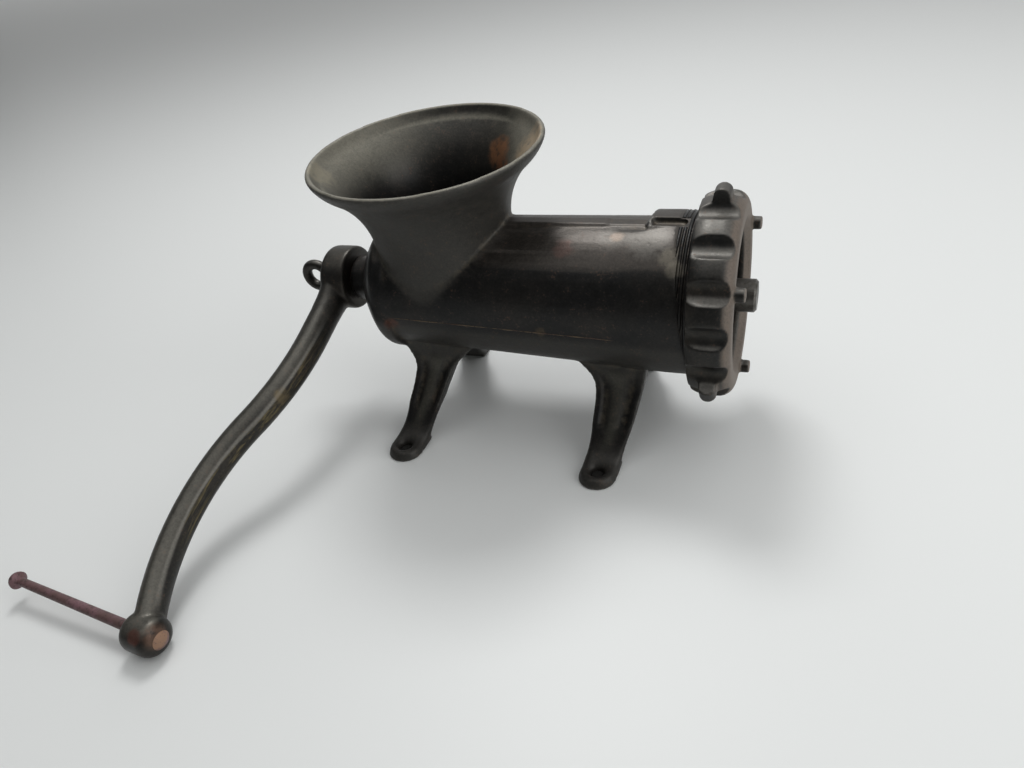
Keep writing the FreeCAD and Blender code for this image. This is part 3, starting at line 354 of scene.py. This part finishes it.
class Neighbours:
    """Averages values over each vertex's neighbours."""

    def __init__(self, mesh):
        pairs = np.empty(len(mesh.edges) * 2, dtype=np.int64)
        mesh.edges.foreach_get("vertices", pairs)
        pairs = pairs.reshape(-1, 2)
        ends = np.concatenate([pairs, pairs[:, ::-1]])
        self.here, self.there = ends[:, 0], ends[:, 1]
        self.number = len(mesh.vertices)
        self.count = np.maximum(np.bincount(self.here, minlength=self.number), 1)

    def average(self, values):
        """Each vertex gets the mean of its neighbours' values."""
        return np.bincount(self.here, weights=values[self.there], minlength=self.number) / self.count

    def relax(self, places, share, passes):
        """Moves the places towards their neighbours' middle, each by its own share."""
        busy = np.flatnonzero(share > 0.001)
        order = np.full(self.number, -1)
        order[busy] = np.arange(len(busy))
        own = order[self.here] >= 0
        here, there = order[self.here[own]], self.there[own]
        part, count = share[busy][:, None], self.count[busy][:, None]
        places = places.copy()
        for _ in range(passes):
            moved = places[there]
            total = [np.bincount(here, weights=column, minlength=len(busy)) for column in moved.T]
            places[busy] += (np.stack(total, axis=1) / count - places[busy]) * part
        return places


def plain_mesh(obj):
    """The object's mesh with its modifiers applied."""
    graph = bpy.context.evaluated_depsgraph_get()
    graph.update()
    return bpy.data.meshes.new_from_object(obj.evaluated_get(graph))


def new_helper(name, mesh):
    """An object in the scene with the given mesh."""
    helper = bpy.data.objects.new(name, mesh)
    bpy.context.scene.collection.objects.link(helper)
    return helper


def new_piece(name, mesh, body, material):
    """A smooth-shaded piece of the object, in one material, that rides on a body."""
    piece = new_helper(name, mesh)
    mesh.materials.clear()
    mesh.materials.append(material)
    for face in mesh.polygons:
        face.use_smooth = True
        face.material_index = 0
    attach(piece, body)
    return piece


def take_copy(node, cut_behind=None):
    """A clean copy of a node's mesh, cut square behind a place on X where one is given."""
    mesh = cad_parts[node].data.copy()
    cleaner = bmesh.new()
    cleaner.from_mesh(mesh)
    bmesh.ops.remove_doubles(cleaner, verts=cleaner.verts, dist=WELD)
    if cut_behind is not None:
        everything = cleaner.verts[:] + cleaner.edges[:] + cleaner.faces[:]
        bmesh.ops.bisect_plane(cleaner, geom=everything, dist=CUT_TOLERANCE, plane_co=(cut_behind, 0, 0),
                               plane_no=(1, 0, 0), clear_inner=True)
        rim = [edge for edge in cleaner.edges if edge.is_boundary]
        bmesh.ops.triangle_fill(cleaner, edges=rim, use_beauty=True)
        bmesh.ops.recalc_face_normals(cleaner, faces=cleaner.faces)
    cleaner.to_mesh(mesh)
    cleaner.free()
    return mesh


def thinned(helper, dense, values):
    """The helper's dense mesh brought down to the most triangles a piece may have, with its masks."""
    triangles = sum(len(face.vertices) - 2 for face in dense.polygons)
    if triangles <= MOST_TRIANGLES:
        return dense, values
    fewer = helper.modifiers.new("fewer", "DECIMATE")
    fewer.ratio = MOST_TRIANGLES / triangles
    final = plain_mesh(helper)
    places = vertices_of(dense)
    nearest = kdtree.KDTree(len(places))
    for index, point in enumerate(places):
        nearest.insert(point, index)
    nearest.balance()
    picked = np.array([nearest.find(point)[1] for point in vertices_of(final)])
    return final, {label: value[picked] for label, value in values.items()}


def softened(mesh, voxel, passes, masks, shape=None, soft_zones=(), last_shape=None):
    """The mesh with its edges eased, as casting and forging leave them, and with its masks of wear, dirt
    and painted light.
    """
    helper = new_helper("helper", mesh)
    skin = helper.modifiers.new("skin", "REMESH")
    skin.mode = "VOXEL"
    skin.voxel_size = voxel
    dense = plain_mesh(helper)
    helper.modifiers.clear()
    near = Neighbours(dense)
    places = vertices_of(dense)
    if shape:
        places = shape(places, normals_of(dense))
    places = near.relax(places, np.full(len(places), EASING), passes)
    for zone, zone_passes in soft_zones:
        places = near.relax(places, ZONE_EASING * zone(places), zone_passes)
    if last_shape:
        places = last_shape(places)
    dense.vertices.foreach_set("co", places.ravel())
    dense.update()
    normals = normals_of(dense)
    middle = near.relax(places, np.ones(len(places)), MASK_PASSES)
    bulge = near.average(near.average(((places - middle) * normals).sum(axis=1)))
    values = {
        "edge": np.clip(bulge / (EDGE_DEPTH * voxel), 0, 1),
        "hollow": np.clip(-bulge / (HOLLOW_DEPTH * voxel), 0, 1),
    }
    for label, mask in masks.items():
        values[label] = mask(places, normals)
    helper.data = dense
    final, values = thinned(helper, dense, values)
    bpy.data.objects.remove(helper)
    for label, value in values.items():
        layer = final.attributes.new(label, "FLOAT", "POINT")
        layer.data.foreach_set("value", value.astype(np.float32))
    return final


def from_axis(places):
    """Distance from the worm axis, and the angle from the top, which grows towards the far side."""
    rise = places[:, 2] - AXIS_HEIGHT
    return np.hypot(places[:, 1], rise), np.arctan2(places[:, 1], rise)


def from_hopper(places, normals):
    """Distance from the hopper's axis, and how far each normal points away from it."""
    offset = places - RIM_MIDDLE
    radial = offset - (offset @ HOPPER_AXIS)[:, None] * HOPPER_AXIS
    distance = np.linalg.norm(radial, axis=1)
    return distance, (normals * radial).sum(axis=1) / np.maximum(distance, 1e-9)


def across_leg(places):
    """Sideways place on a leg: 0 on its middle line, 1 at its edges. It is far off everywhere else."""
    across = np.full(len(places), 9.0)
    outside = (from_axis(places)[0] > NOSE_RADIUS) & (places[:, 2] < LEG_TOP)
    levels = np.arange(4 * MM, LEG_TOP - 2 * MM, 2 * MM)
    for end in (-1, 1):
        for side in (-1, 1):
            leg = np.flatnonzero(outside & (places[:, 0] * end > 0) & (places[:, 1] * side > 0))
            x, height = places[leg, 0], places[leg, 2]
            slices = [x[np.abs(height - level) < 1.5 * MM] for level in levels]
            left = np.interp(height, levels, [part.min() for part in slices])
            right = np.interp(height, levels, [part.max() for part in slices])
            across[leg] = np.abs(x - (left + right) / 2) / (right - left) * 2
    return across


def leg_ridge_and_channel(places, normals):
    """The soft ridge down each leg's outer face and the channels beside it, both from 0 to 1."""
    across = across_leg(places)
    outer = step(normals[:, 1] * np.sign(places[:, 1]), 0.1, 0.5)
    outer *= step(places[:, 2], 9 * MM, 22 * MM) * step(places[:, 2], 65 * MM, 58 * MM)
    ridge = step(across, 0.5, 0.05) * outer
    channel = step(across, 0.2, 0.46) * step(across, 0.8, 0.54) * outer
    return ridge, channel


def barrel_skin(x, around):
    """Radius of the barrel's skin at a place on X and an angle from the top."""
    share = (x - SKIN_REAR[0]) / (SKIN_FRONT[0] - SKIN_REAR[0])
    return SKIN_REAR[1] + share * (SKIN_FRONT[1] - SKIN_REAR[1]) - x * SKIN_SLOPE * np.cos(around)


def swell_nose(places):
    """Factor on each place's distance from the worm axis: the nose swells evenly out of the barrel."""
    radius, around = from_axis(places)
    x = places[:, 0]
    skin = barrel_skin(x, around)
    cone = NOSE_ROOT + (NOSE_RADIUS - NOSE_ROOT) * np.clip((x - NOSE_START) / NOSE_TAPER, 0, 1)
    surface = np.where(x < NOSE_START, skin, np.maximum(cone, skin * (x < NOSE_START + 0.5 * MM)))
    even = skin + (NOSE_RADIUS - skin) * step(x, SWELL_START, SWELL_END)
    beside_keyway = step(-around, *BESIDE_KEYWAY) * step(around, 1.0, 0.75)
    sharp = np.where(x > NOSE_START, NOSE_RADIUS, surface)
    wanted = even + (sharp - even) * beside_keyway
    carried = radius + (wanted - surface) * (1 - beside_keyway)
    on_surface = step(np.abs(radius - surface), 2 * MM, 0.9 * MM)
    moved = on_surface * wanted + (1 - on_surface) * carried
    along = step(x, SWELL_START - 2 * MM, SWELL_START) * step(x, SWELL_END + 1 * MM, SWELL_END)
    outside = step(radius, BORE_LIMIT, BORE_LIMIT + 0.8 * MM) * step(radius, 64 * MM, 56 * MM)
    return 1 + along * outside * (moved / np.maximum(radius, 1e-9) - 1)


def shape_casting(places, normals):
    """Swells the nose, raises the ridges of the legs and deepens the channels beside them."""
    ridge, channel = leg_ridge_and_channel(places, normals)
    axis = places * (1, 0, 0) + (0, 0, AXIS_HEIGHT)
    swollen = axis + (places - axis) * swell_nose(places)[:, None]
    relief = LEG_RIDGE * ridge - LEG_CHANNEL * channel
    return swollen + normals * relief[:, None]


def foot_zone(places):
    """Round each foot, where the leg runs softly into its pad."""
    return step(places[:, 2], 30 * MM, 14 * MM) * step(places[:, 2], 1.5 * MM, 4 * MM)


def skirt_zone(places):
    """Where the hopper's skirt dies away on the barrel's sides."""
    level = step(places[:, 2], 100 * MM, 108 * MM) * step(places[:, 2], 134 * MM, 124 * MM)
    beside = step(np.abs(places[:, 1]), 30 * MM, 38 * MM)
    return level * beside * step(np.abs(places[:, 0] - RIM_MIDDLE[0]), 60 * MM, 46 * MM)


def lower_nose(places):
    """Takes the nose down to the root of its thread."""
    radius = from_axis(places)[0]
    root = THREAD_CREST - THREAD_DEPTH + 0.1 * MM
    along = places[:, 0] + THREAD_SLANT * (places[:, 2] - AXIS_HEIGHT)
    sunk = step(along, THREAD_FADE, THREAD_FADE + 1.2 * MM)
    factor = np.where(radius > root, 1 - sunk * (1 - root / np.maximum(radius, 1e-9)), 1.0)
    lowered = places.copy()
    lowered[:, 1] *= factor
    lowered[:, 2] = AXIS_HEIGHT + (places[:, 2] - AXIS_HEIGHT) * factor
    return lowered


def casting_light_and_wear(places, normals):
    """Lighter metal: painted light inside the hopper, lighter towards the lip and on its side walls and
    reaching lowest on its front wall, so it darkens deeper down as painted shade; rubbed wear on its rim; a
    painted highlight on the leg ridges.
    """
    distance, outward = from_hopper(places, normals)
    height = places[:, 2]
    ahead = places[:, 0] - RIM_MIDDLE[0]
    sideways = np.abs(ahead) / np.maximum(distance, 1e-9)
    # Painted light and shade: lighter towards the lip, most on the side walls, darker deeper down.
    towards_lip = step(height, 172 * MM, 208 * MM) * (0.1 + 0.75 * sideways ** 2)
    # Painted light from the key lamp on the hopper's front inner wall.
    front_wall = 0.85 * step(ahead, 22 * MM, 56 * MM) * step(height, 166 * MM, 192 * MM)
    inside = np.maximum(towards_lip, front_wall) * step(outward, 0.2, -0.35)
    rim = 0.9 * step(distance, 70 * MM, 72.5 * MM) * step(normals[:, 2], 0.45, 0.85)
    rim *= step(height, 196 * MM, 200 * MM)
    # Painted highlight on the leg ridges.
    ridge = 0.25 * leg_ridge_and_channel(places, normals)[0]
    return np.maximum(np.maximum(inside, rim), ridge)


def rough_casting(places, normals):
    """Coarse cast skin: the outside of the hopper, the underside of the barrel and the feet."""
    distance, outward = from_hopper(places, normals)
    height = places[:, 2]
    edge = THROAT_RADIUS + 7 * MM * step(height, 140 * MM, 158 * MM)
    skirt = step(distance, edge + 2 * MM, edge) * step(height, 104 * MM, 120 * MM)
    flare = step(height, 156 * MM, 164 * MM)
    hopper = np.maximum(skirt, flare) * step(outward, -0.1, 0.15)
    underside = 0.75 * step(height, 101 * MM, 92 * MM) * step(height, 46 * MM, 60 * MM)
    foot = 0.7 * step(height, 20 * MM, 8 * MM)
    return np.maximum(hopper, np.maximum(underside, foot))


def barrel_top_reflection(places, normals):
    """The barrel's upper side, lightened as a painted reflection of the overhead light, with a fairly sharp
    lower edge.
    """
    height = places[:, 2]
    facing_up = step(normals[:, 2], 0.66, 0.72)
    on_barrel = step(height, 120 * MM, 130 * MM) * step(height, 168 * MM, 164 * MM)
    off_hopper = step(from_hopper(places, normals)[0], THROAT_RADIUS, 54 * MM)
    return facing_up * on_barrel * off_hopper


def upper_side(places, normals):
    """Faces that look up, lightened in colour as painted light from above."""
    return step(normals[:, 2], 0.55, 0.85)


def ring_bevel(places, normals):
    """The ring nut's front face, rubbed brown."""
    return step(normals[:, 0], 0.3, 0.7) * step(places[:, 0], 152 * MM, 157 * MM)


def arm_side(places):
    """1 on the arm, fading out towards the hub."""
    return step(places[:, 1], -30 * MM, -95 * MM)


def arm_top(places, normals):
    """Painted light from above: the crank's faces that look up, most of all on the arm."""
    return upper_side(places, normals) * (0.35 + 0.65 * arm_side(places))


def arm_ridge_highlight(places, normals):
    """Painted highlight: a bright line along the arm where its two faces meet."""
    facing = step(normals[:, 0], 0.62, 0.76) * step(normals[:, 0], 0.93, 0.84)
    facing *= step(normals[:, 2], 0.05, 0.25)
    off_boss = step(places[:, 1], -268 * MM, -250 * MM)
    return 0.45 * facing * arm_side(places) * off_boss


def arm_grooves(places, normals):
    """Greasy grooves beside that line."""
    along = step(places[:, 1], -45 * MM, -80 * MM) * step(places[:, 1], -225 * MM, -200 * MM)
    facing = step(normals[:, 0], 0.84, 0.93) * step(normals[:, 2], -0.3, 0)
    return 0.9 * facing * along


def arm_bow(places, normals):
    """Height of the bowed arm's middle line at each place along it."""
    levels = np.arange(-285 * MM, -5 * MM, 4 * MM)
    slices = [places[np.abs(places[:, 1] - level) < 3 * MM, 2] for level in levels]
    return np.interp(places[:, 1], levels, [(part.min() + part.max()) / 2 for part in slices])


def shape_arm(places, normals):
    """Raises the arm's ridge and sinks the grooves."""
    rise = 0.4 * arm_ridge_highlight(places, normals) - 0.5 * arm_grooves(places, normals)
    return places + normals * rise[:, None] * MM


def geometry_tree(name, sizes):
    """An empty Geometry Nodes tree with one named float input for each size."""
    tree = bpy.data.node_groups.new(name, "GeometryNodeTree")
    tree.interface.new_socket("Geometry", in_out="OUTPUT", socket_type="NodeSocketGeometry")
    for label in sizes:
        tree.interface.new_socket(label, in_out="INPUT", socket_type="NodeSocketFloat")
    return tree, add(tree, "NodeGroupInput", {}, {}).outputs


def grow(tree, geometry, sizes, material):
    """Ends a tree, gives its inputs their sizes, runs it on a helper and takes the plain mesh."""
    real = add(tree, "GeometryNodeRealizeInstances", {}, {"Geometry": geometry})
    coloured = add(tree, "GeometryNodeSetMaterial", {}, {"Geometry": real, "Material": material})
    add(tree, "NodeGroupOutput", {}, {"Geometry": coloured})
    helper = new_helper(tree.name + "_helper", bpy.data.meshes.new(tree.name + "_helper"))
    modifier = helper.modifiers.new("build", "NODES")
    modifier.node_group = tree
    for socket in tree.interface.items_tree:
        if socket.in_out == "INPUT":
            modifier[socket.identifier] = sizes[socket.name]
    mesh = plain_mesh(helper)
    bpy.data.objects.remove(helper)
    return mesh


def make_thread(material):
    """The mouth's thread: one ridge wound round the nose, open where the keyway crosses it."""
    sizes = {
        "Length": THREAD_END - THREAD_START,
        "Turns": (THREAD_END - THREAD_START) / THREAD_PITCH,
        "Root radius": THREAD_CREST - THREAD_DEPTH,
        "Depth": THREAD_DEPTH,
        "Pitch": THREAD_PITCH,
        "Fade": THREAD_FADE + THREAD_SLANT * AXIS_HEIGHT,
    }
    tree, size = geometry_tree("mouth_thread", sizes)
    wound = add(tree, "GeometryNodeCurveSpiral", {}, {
        "Resolution": THREAD_STEPS, "Rotations": size["Turns"], "Start Radius": size["Root radius"],
        "End Radius": size["Root radius"], "Height": size["Length"]})
    lie = add(tree, "GeometryNodeTransform", {}, {
        "Geometry": wound, "Rotation": (0, math.radians(90), 0),
        "Translation": (THREAD_START, 0, AXIS_HEIGHT)})
    place = add(tree, "GeometryNodeInputPosition", {}, {})
    along = add(tree, "ShaderNodeVectorMath", {"operation": "DOT_PRODUCT"}, {
        0: place, 1: (1, 0, THREAD_SLANT)})
    past = add(tree, "ShaderNodeMath", {"operation": "SUBTRACT"}, {
        0: along.outputs["Value"], 1: size["Fade"]})
    grown = add(tree, "ShaderNodeMapRange", {}, {"Value": past, "From Max": 1.5 * MM, "To Min": 0.05})
    profile = add(tree, "GeometryNodeCurvePrimitiveQuadrilateral", {"mode": "KITE"}, {
        "Width": size["Pitch"], "Top Height": size["Depth"], "Bottom Height": size["Depth"]})
    ridge = add(tree, "GeometryNodeCurveToMesh", {}, {
        "Curve": lie, "Profile Curve": profile, "Scale": grown, "Fill Caps": True})
    axes = add(tree, "ShaderNodeSeparateXYZ", {}, {"Vector": place}).outputs
    gone = True
    for axis, operation, limit in (
        ("X", "LESS_THAN", KEYWAY_END),
        ("Y", "GREATER_THAN", KEYWAY_SIDES[0]),
        ("Y", "LESS_THAN", KEYWAY_SIDES[1]),
        ("Z", "GREATER_THAN", AXIS_HEIGHT),
    ):
        test = add(tree, "FunctionNodeCompare", {"data_type": "FLOAT", "operation": operation}, {
            "A": axes[axis], "B": limit})
        gone = add(tree, "FunctionNodeBooleanMath", {"operation": "AND"}, {0: gone, 1: test})
    faded = add(tree, "FunctionNodeCompare", {"data_type": "FLOAT", "operation": "LESS_THAN"}, {
        "A": past, "B": 0.0})
    gone = add(tree, "FunctionNodeBooleanMath", {"operation": "OR"}, {0: gone, 1: faded})
    cut = add(tree, "GeometryNodeDeleteGeometry", {"domain": "POINT"}, {
        "Geometry": ridge, "Selection": gone})
    return grow(tree, cut, sizes, material)


def make_seam(name, side, material):
    """The mould's joint line: a thin broken ridge along the barrel, on one side."""
    sizes = {"Width": 0.6 * MM, "Waviness": 0.6 * MM}
    tree, size = geometry_tree(name, sizes)
    angle = math.radians(SEAM_ANGLE) * side
    ends = []
    for x, radius in (SEAM_REAR, SEAM_FRONT):
        height = AXIS_HEIGHT + radius * math.cos(angle) - x * SKIN_SLOPE
        ends.append((x, -radius * math.sin(angle), height))
    line = add(tree, "GeometryNodeCurvePrimitiveLine", {}, {"Start": ends[0], "End": ends[1]})
    fine = add(tree, "GeometryNodeResampleCurve", {}, {"Curve": line, "Count": SEAM_STEPS})
    noise = add(tree, "ShaderNodeTexNoise", {}, {"Scale": 1 / (5 * MM), "Detail": 4.0})
    shift = add(tree, "ShaderNodeMapRange", {}, {"Value": noise, "To Max": size["Waviness"]})
    raised = add(tree, "ShaderNodeCombineXYZ", {}, {"Z": shift})
    moved = add(tree, "GeometryNodeSetPosition", {}, {"Geometry": fine, "Offset": raised})
    swell = add(tree, "ShaderNodeTexNoise", {}, {"Scale": 1 / (9 * MM), "Detail": 3.0})
    thickness = add(tree, "ShaderNodeMapRange", {}, {
        "Value": swell, "From Min": 0.35, "From Max": 0.7, "To Min": 0.2})
    profile = add(tree, "GeometryNodeCurvePrimitiveCircle", {"mode": "RADIUS"}, {
        "Resolution": 8, "Radius": size["Width"]})
    ridge = add(tree, "GeometryNodeCurveToMesh", {}, {
        "Curve": moved, "Profile Curve": profile, "Scale": thickness, "Fill Caps": True})
    return grow(tree, ridge, sizes, material)


def plug_ring(plugs, middle, radius, height):
    """One ring of a plug's vertices, or the single one in its middle."""
    around = [2 * math.pi * turn / PLUG_SIDES for turn in range(PLUG_SIDES if radius else 1)]
    return [plugs.verts.new((
        middle[0] + radius * MM * math.cos(angle),
        middle[1] + radius * MM * math.sin(angle),
        height * MM)) for angle in around]


def make_hole_shade_plugs():
    """Painted shade in the four screw holes: a shallow turned near-black plug in each."""
    mesh = bpy.data.meshes.new("hole_shade_plugs")
    plugs = bmesh.new()
    for end in (-1, 1):
        for side in (-1, 1):
            middle = (end * HOLE_PLACE[0], side * HOLE_PLACE[1])
            rings = [plug_ring(plugs, middle, radius, height) for radius, height in PLUG_OUTLINE]
            for upper, lower in zip(rings, rings[1:]):
                for turn in range(PLUG_SIDES):
                    corners = [upper[turn % len(upper)], lower[turn % len(lower)],
                               lower[(turn + 1) % len(lower)], upper[(turn + 1) % len(upper)]]
                    plugs.faces.new(list(dict.fromkeys(corners)))
    bmesh.ops.recalc_face_normals(plugs, faces=plugs.faces)
    plugs.to_mesh(mesh)
    plugs.free()
    return mesh


# The object's finishes

# Stains: tan and rust inside the hopper, the tan on its front inner wall partly painted light; brown and
# pale patches on the barrel and nose, the pale ones on the barrel's top partly a painted highlight; brown
# on a foot.
BODY_SPOTS = (
    # Tan patch on the hopper's front inner wall: partly dust, partly painted light from the key lamp.
    ((18, 14, 205), 36, "#a08e75", 0.9),
    ((-14, 47, 190), 17, "#8c6244", 0.85),
    ((-10, 38, 182), 12, "#7f543a", 0.8),
    ((-112, -30, 207), 20, "#8d8672", 0.5),
    ((-77, -46, 98), 9, "#6a3c2b", 0.4),
    ((52, -25, 152), 11, "#5a4640", 0.6),
    ((86, -16, 156), 7, "#7a6656", 0.4),
    # Pale grey patches where the key lamp's highlight falls on the barrel's top: partly wear, partly a
    # painted highlight.
    ((84, -14, 157), 18, "#6f6d68", 0.22),
    ((108, -20, 157), 22, "#7b7974", 0.3),
    ((39, -50, 103), 6, "#6b5a44", 0.3),
    ((122, -33, 152), 10, "#857f72", 0.4),
    ((126, -39, 147), 9, "#857f72", 0.35),
    ((82, -86, 8), 9, "#5d4a3c", 0.3),
)

# Brown and red-brown patches on the boss, and an oily one on the arm.
CRANK_SPOTS = (
    ((-139, -275, 18), 12, "#6f5546", 0.6),
    ((-150, -282, 23), 8, "#683c31", 0.65),
    ((-139, -111, 74), 9, "#6e6149", 0.6),
)

# Brown rust where the worm's journal leaves the housing, and a light rusty patch at the spindle's root.
WORM_SPOTS = (
    ((-122, -8, 113), 16, "#6e4a42", 0.9),
)
ROD_SPOTS = (
    ((-139, -275, 18), 14, "#8f6f58", 1.0),
)

# Body: near-black and half matt, with tan dirt in its creases, painted light inside the hopper and on the
# leg ridges, and a painted reflection along the barrel's top.
# Ring nut: lighter, its faces that look up lightened as painted light from above, its front face rubbed
# brown.
body_iron = old_iron(
    "old_cast_iron", "#242424", "#2d2b29", "#373531", "#45413d", "#79766a",
    spots=BODY_SPOTS, dirt=0.4, gloss=0.37)
ring_iron = old_iron(
    "worn_cast_iron", "#2b2b2a", "#38342f", "#3d3a36", "#5c5a56", "#6b6158",
    wear=0.45, dirt=0.2, gloss=0.42)

# Crank and thumb screw: lighter than the body, with greasy grooves, a painted highlight along the arm's
# ridge, and faces that look up lightened as painted light from above.
crank_iron = old_iron(
    "forged_iron", "#2e2d2b", "#3f3b36", "#4a4740", "#585650", "#8b8880",
    spots=CRANK_SPOTS, dirt=0.2, gloss=0.42)
screw_iron = old_iron(
    "forged_screw_iron", "#33312e", "#423c35", "#4a4740", "#5c5a56", "#807c70", gloss=0.42)

# Dirt: a thin brown line on the mould's joint. Painted shade: dull near-black plugs in the screw holes.
seam_dirt = matt_stain("dirt_on_mould_seam", "#5d5040", "#4a3830", "#2e2925", 2 * MM, roughness=0.7)
hole_shade = matt_stain("painted_hole_shade", "#211f1c", "#1b1a18", "#141312", 1.5 * MM, roughness=0.85)

# Steel: the worm a dull grey, knife and plate brighter from grinding, stud, key and washers turned.
worm_iron = bare_steel("tinned_iron", "#6f6d69", "#4a4743", spots=WORM_SPOTS, roughness=0.45)
ground_steel = bare_steel("ground_steel", "#7d7b77", "#55524d")
stud_steel = bare_steel("turned_steel", "#6c6a66", "#45423e", roughness=0.38)

# Grip spindle: matt and reddish brown from old rust.
rod_steel = matt_stain("browned_steel_rod", "#75565b", "#5e4644", "#463536", 2.2 * MM, spots=ROD_SPOTS)

# The object's pieces

housing = softened(
    take_copy("housing"), voxel=0.95 * MM, passes=5, shape=shape_casting,
    soft_zones=((foot_zone, FOOT_PASSES), (skirt_zone, SKIRT_PASSES)), last_shape=lower_nose,
    masks={"wear_and_light": casting_light_and_wear, "rough": rough_casting, "top": barrel_top_reflection})
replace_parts(new_piece("cast_body", housing, "housing", body_iron), "housing")
new_piece("mouth_thread", make_thread(body_iron), "housing", body_iron)
new_piece("near_seam", make_seam("near_seam", 1, seam_dirt), "housing", seam_dirt)
new_piece("far_seam", make_seam("far_seam", -1, seam_dirt), "housing", seam_dirt)
# Near-black plugs in the screw holes, standing in for their shade: painted shade.
new_piece("hole_shade_plugs", make_hole_shade_plugs(), "housing", hole_shade)

ring = softened(
    take_copy("ring_nut", cut_behind=RING_REAR), voxel=0.8 * MM, passes=4,
    masks={"top": upper_side, "wear_and_light": ring_bevel})
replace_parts(new_piece("scalloped_ring", ring, "ring", ring_iron), "ring_nut")

crank = softened(
    take_copy("crank_arm"), voxel=0.8 * MM, passes=8, shape=shape_arm,
    masks={"top": arm_top, "wear_and_light": arm_ridge_highlight, "streak": arm_grooves, "bow": arm_bow})
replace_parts(new_piece("crank", crank, "drive", crank_iron), "crank_arm")

screw = softened(take_copy("thumb_screw"), voxel=0.4 * MM, passes=5, masks={"top": upper_side})
ring_headed = new_piece("ring_headed_screw", screw, "thumb_screw", screw_iron)
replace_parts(ring_headed, "thumb_screw")

for node, material in (
    ("feed_worm", worm_iron),
    ("worm_stud", stud_steel),
    ("knife", ground_steel),
    ("hole_plate", ground_steel),
    ("plate_key", stud_steel),
    ("thrust_washer", stud_steel),
    ("screw_washer", stud_steel),
    ("grip_spindle", rod_steel),
):
    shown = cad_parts[node]
    shown.data.materials.clear()
    shown.data.materials.append(material)

# Floor, light and camera


def make_floor():
    """A plain pale floor."""
    mesh = bpy.data.meshes.new("floor")
    corners = [(-FLOOR_HALF, -FLOOR_HALF, 0), (FLOOR_HALF, -FLOOR_HALF, 0),
               (FLOOR_HALF, FLOOR_HALF, 0), (-FLOOR_HALF, FLOOR_HALF, 0)]
    mesh.from_pydata(corners, [], [(0, 1, 2, 3)])
    floor = new_helper("floor", mesh)
    material = blank_material("pale_floor")
    tree = material.node_tree
    shader = add(tree, "ShaderNodeBsdfPrincipled", {}, {"Base Color": linear("#e8eae9"), "Roughness": 0.45})
    add(tree, "ShaderNodeOutputMaterial", {}, {"Surface": shader})
    mesh.materials.append(material)


def add_lamp(name, place, target, width, height, radiance):
    """A soft panel of light with the given brightness."""
    data = bpy.data.lights.new(name, "AREA")
    data.shape = "RECTANGLE"
    data.size = width
    data.size_y = height
    data.energy = radiance * math.pi * width * height
    lamp = bpy.data.objects.new(name, data)
    bpy.context.scene.collection.objects.link(lamp)
    lamp.location = place
    lamp.rotation_euler = (Vector(target) - Vector(place)).to_track_quat("-Z", "Y").to_euler()


def make_world():
    """Faint even light from all round."""
    world = bpy.data.worlds.new("room")
    bpy.context.scene.world = world
    world.use_nodes = True
    tree = world.node_tree
    tree.nodes.clear()
    back = add(tree, "ShaderNodeBackground", {}, {"Color": linear("#dcdedd"), "Strength": 0.16})
    add(tree, "ShaderNodeOutputWorld", {}, {"Surface": back})


def make_camera():
    """The photo's camera: its place, its direction, its roll and its lens."""
    pitch, roll, yaw = (math.radians(angle) for angle in (CAMERA_PITCH, CAMERA_ROLL, CAMERA_YAW))
    flat = Vector((math.sin(yaw), math.cos(yaw), 0))
    forward = flat * math.cos(pitch) - Vector((0, 0, math.sin(pitch)))
    level = Vector((math.cos(yaw), -math.sin(yaw), 0))
    upright = level.cross(forward)
    right = math.cos(roll) * level + math.sin(roll) * upright
    up = -math.sin(roll) * level + math.cos(roll) * upright
    turn = Matrix((right, up, -forward)).transposed().to_4x4()
    data = bpy.data.cameras.new("camera")
    data.sensor_width = SENSOR_WIDTH
    data.lens = FOCAL_PIXELS / PHOTO_WIDTH * SENSOR_WIDTH
    data.clip_start = 0.01
    camera = bpy.data.objects.new("camera", data)
    bpy.context.scene.collection.objects.link(camera)
    camera.matrix_world = Matrix.Translation(CAMERA_PLACE) @ turn
    bpy.context.scene.camera = camera


make_floor()
make_world()
add_lamp("ceiling", place=(0.1, 0.2, 1.7), target=(0.1, 0.2, 0), width=2.8, height=2.75, radiance=0.76)
add_lamp("key", place=(-0.27, 0.6, 1.41), target=(0.05, -0.05, 0.1), width=0.44, height=0.44, radiance=13)
add_lamp("side", place=(1.4, -0.35, 0.75), target=(0, 0, 0.1), width=1.3, height=1.3, radiance=2)
add_lamp("back", place=(-0.4, 4.2, 1.6), target=(-0.4, 0, 1.6), width=12, height=3.1, radiance=0.5)
make_camera()
bpy.context.scene.view_settings.view_transform = "Standard"
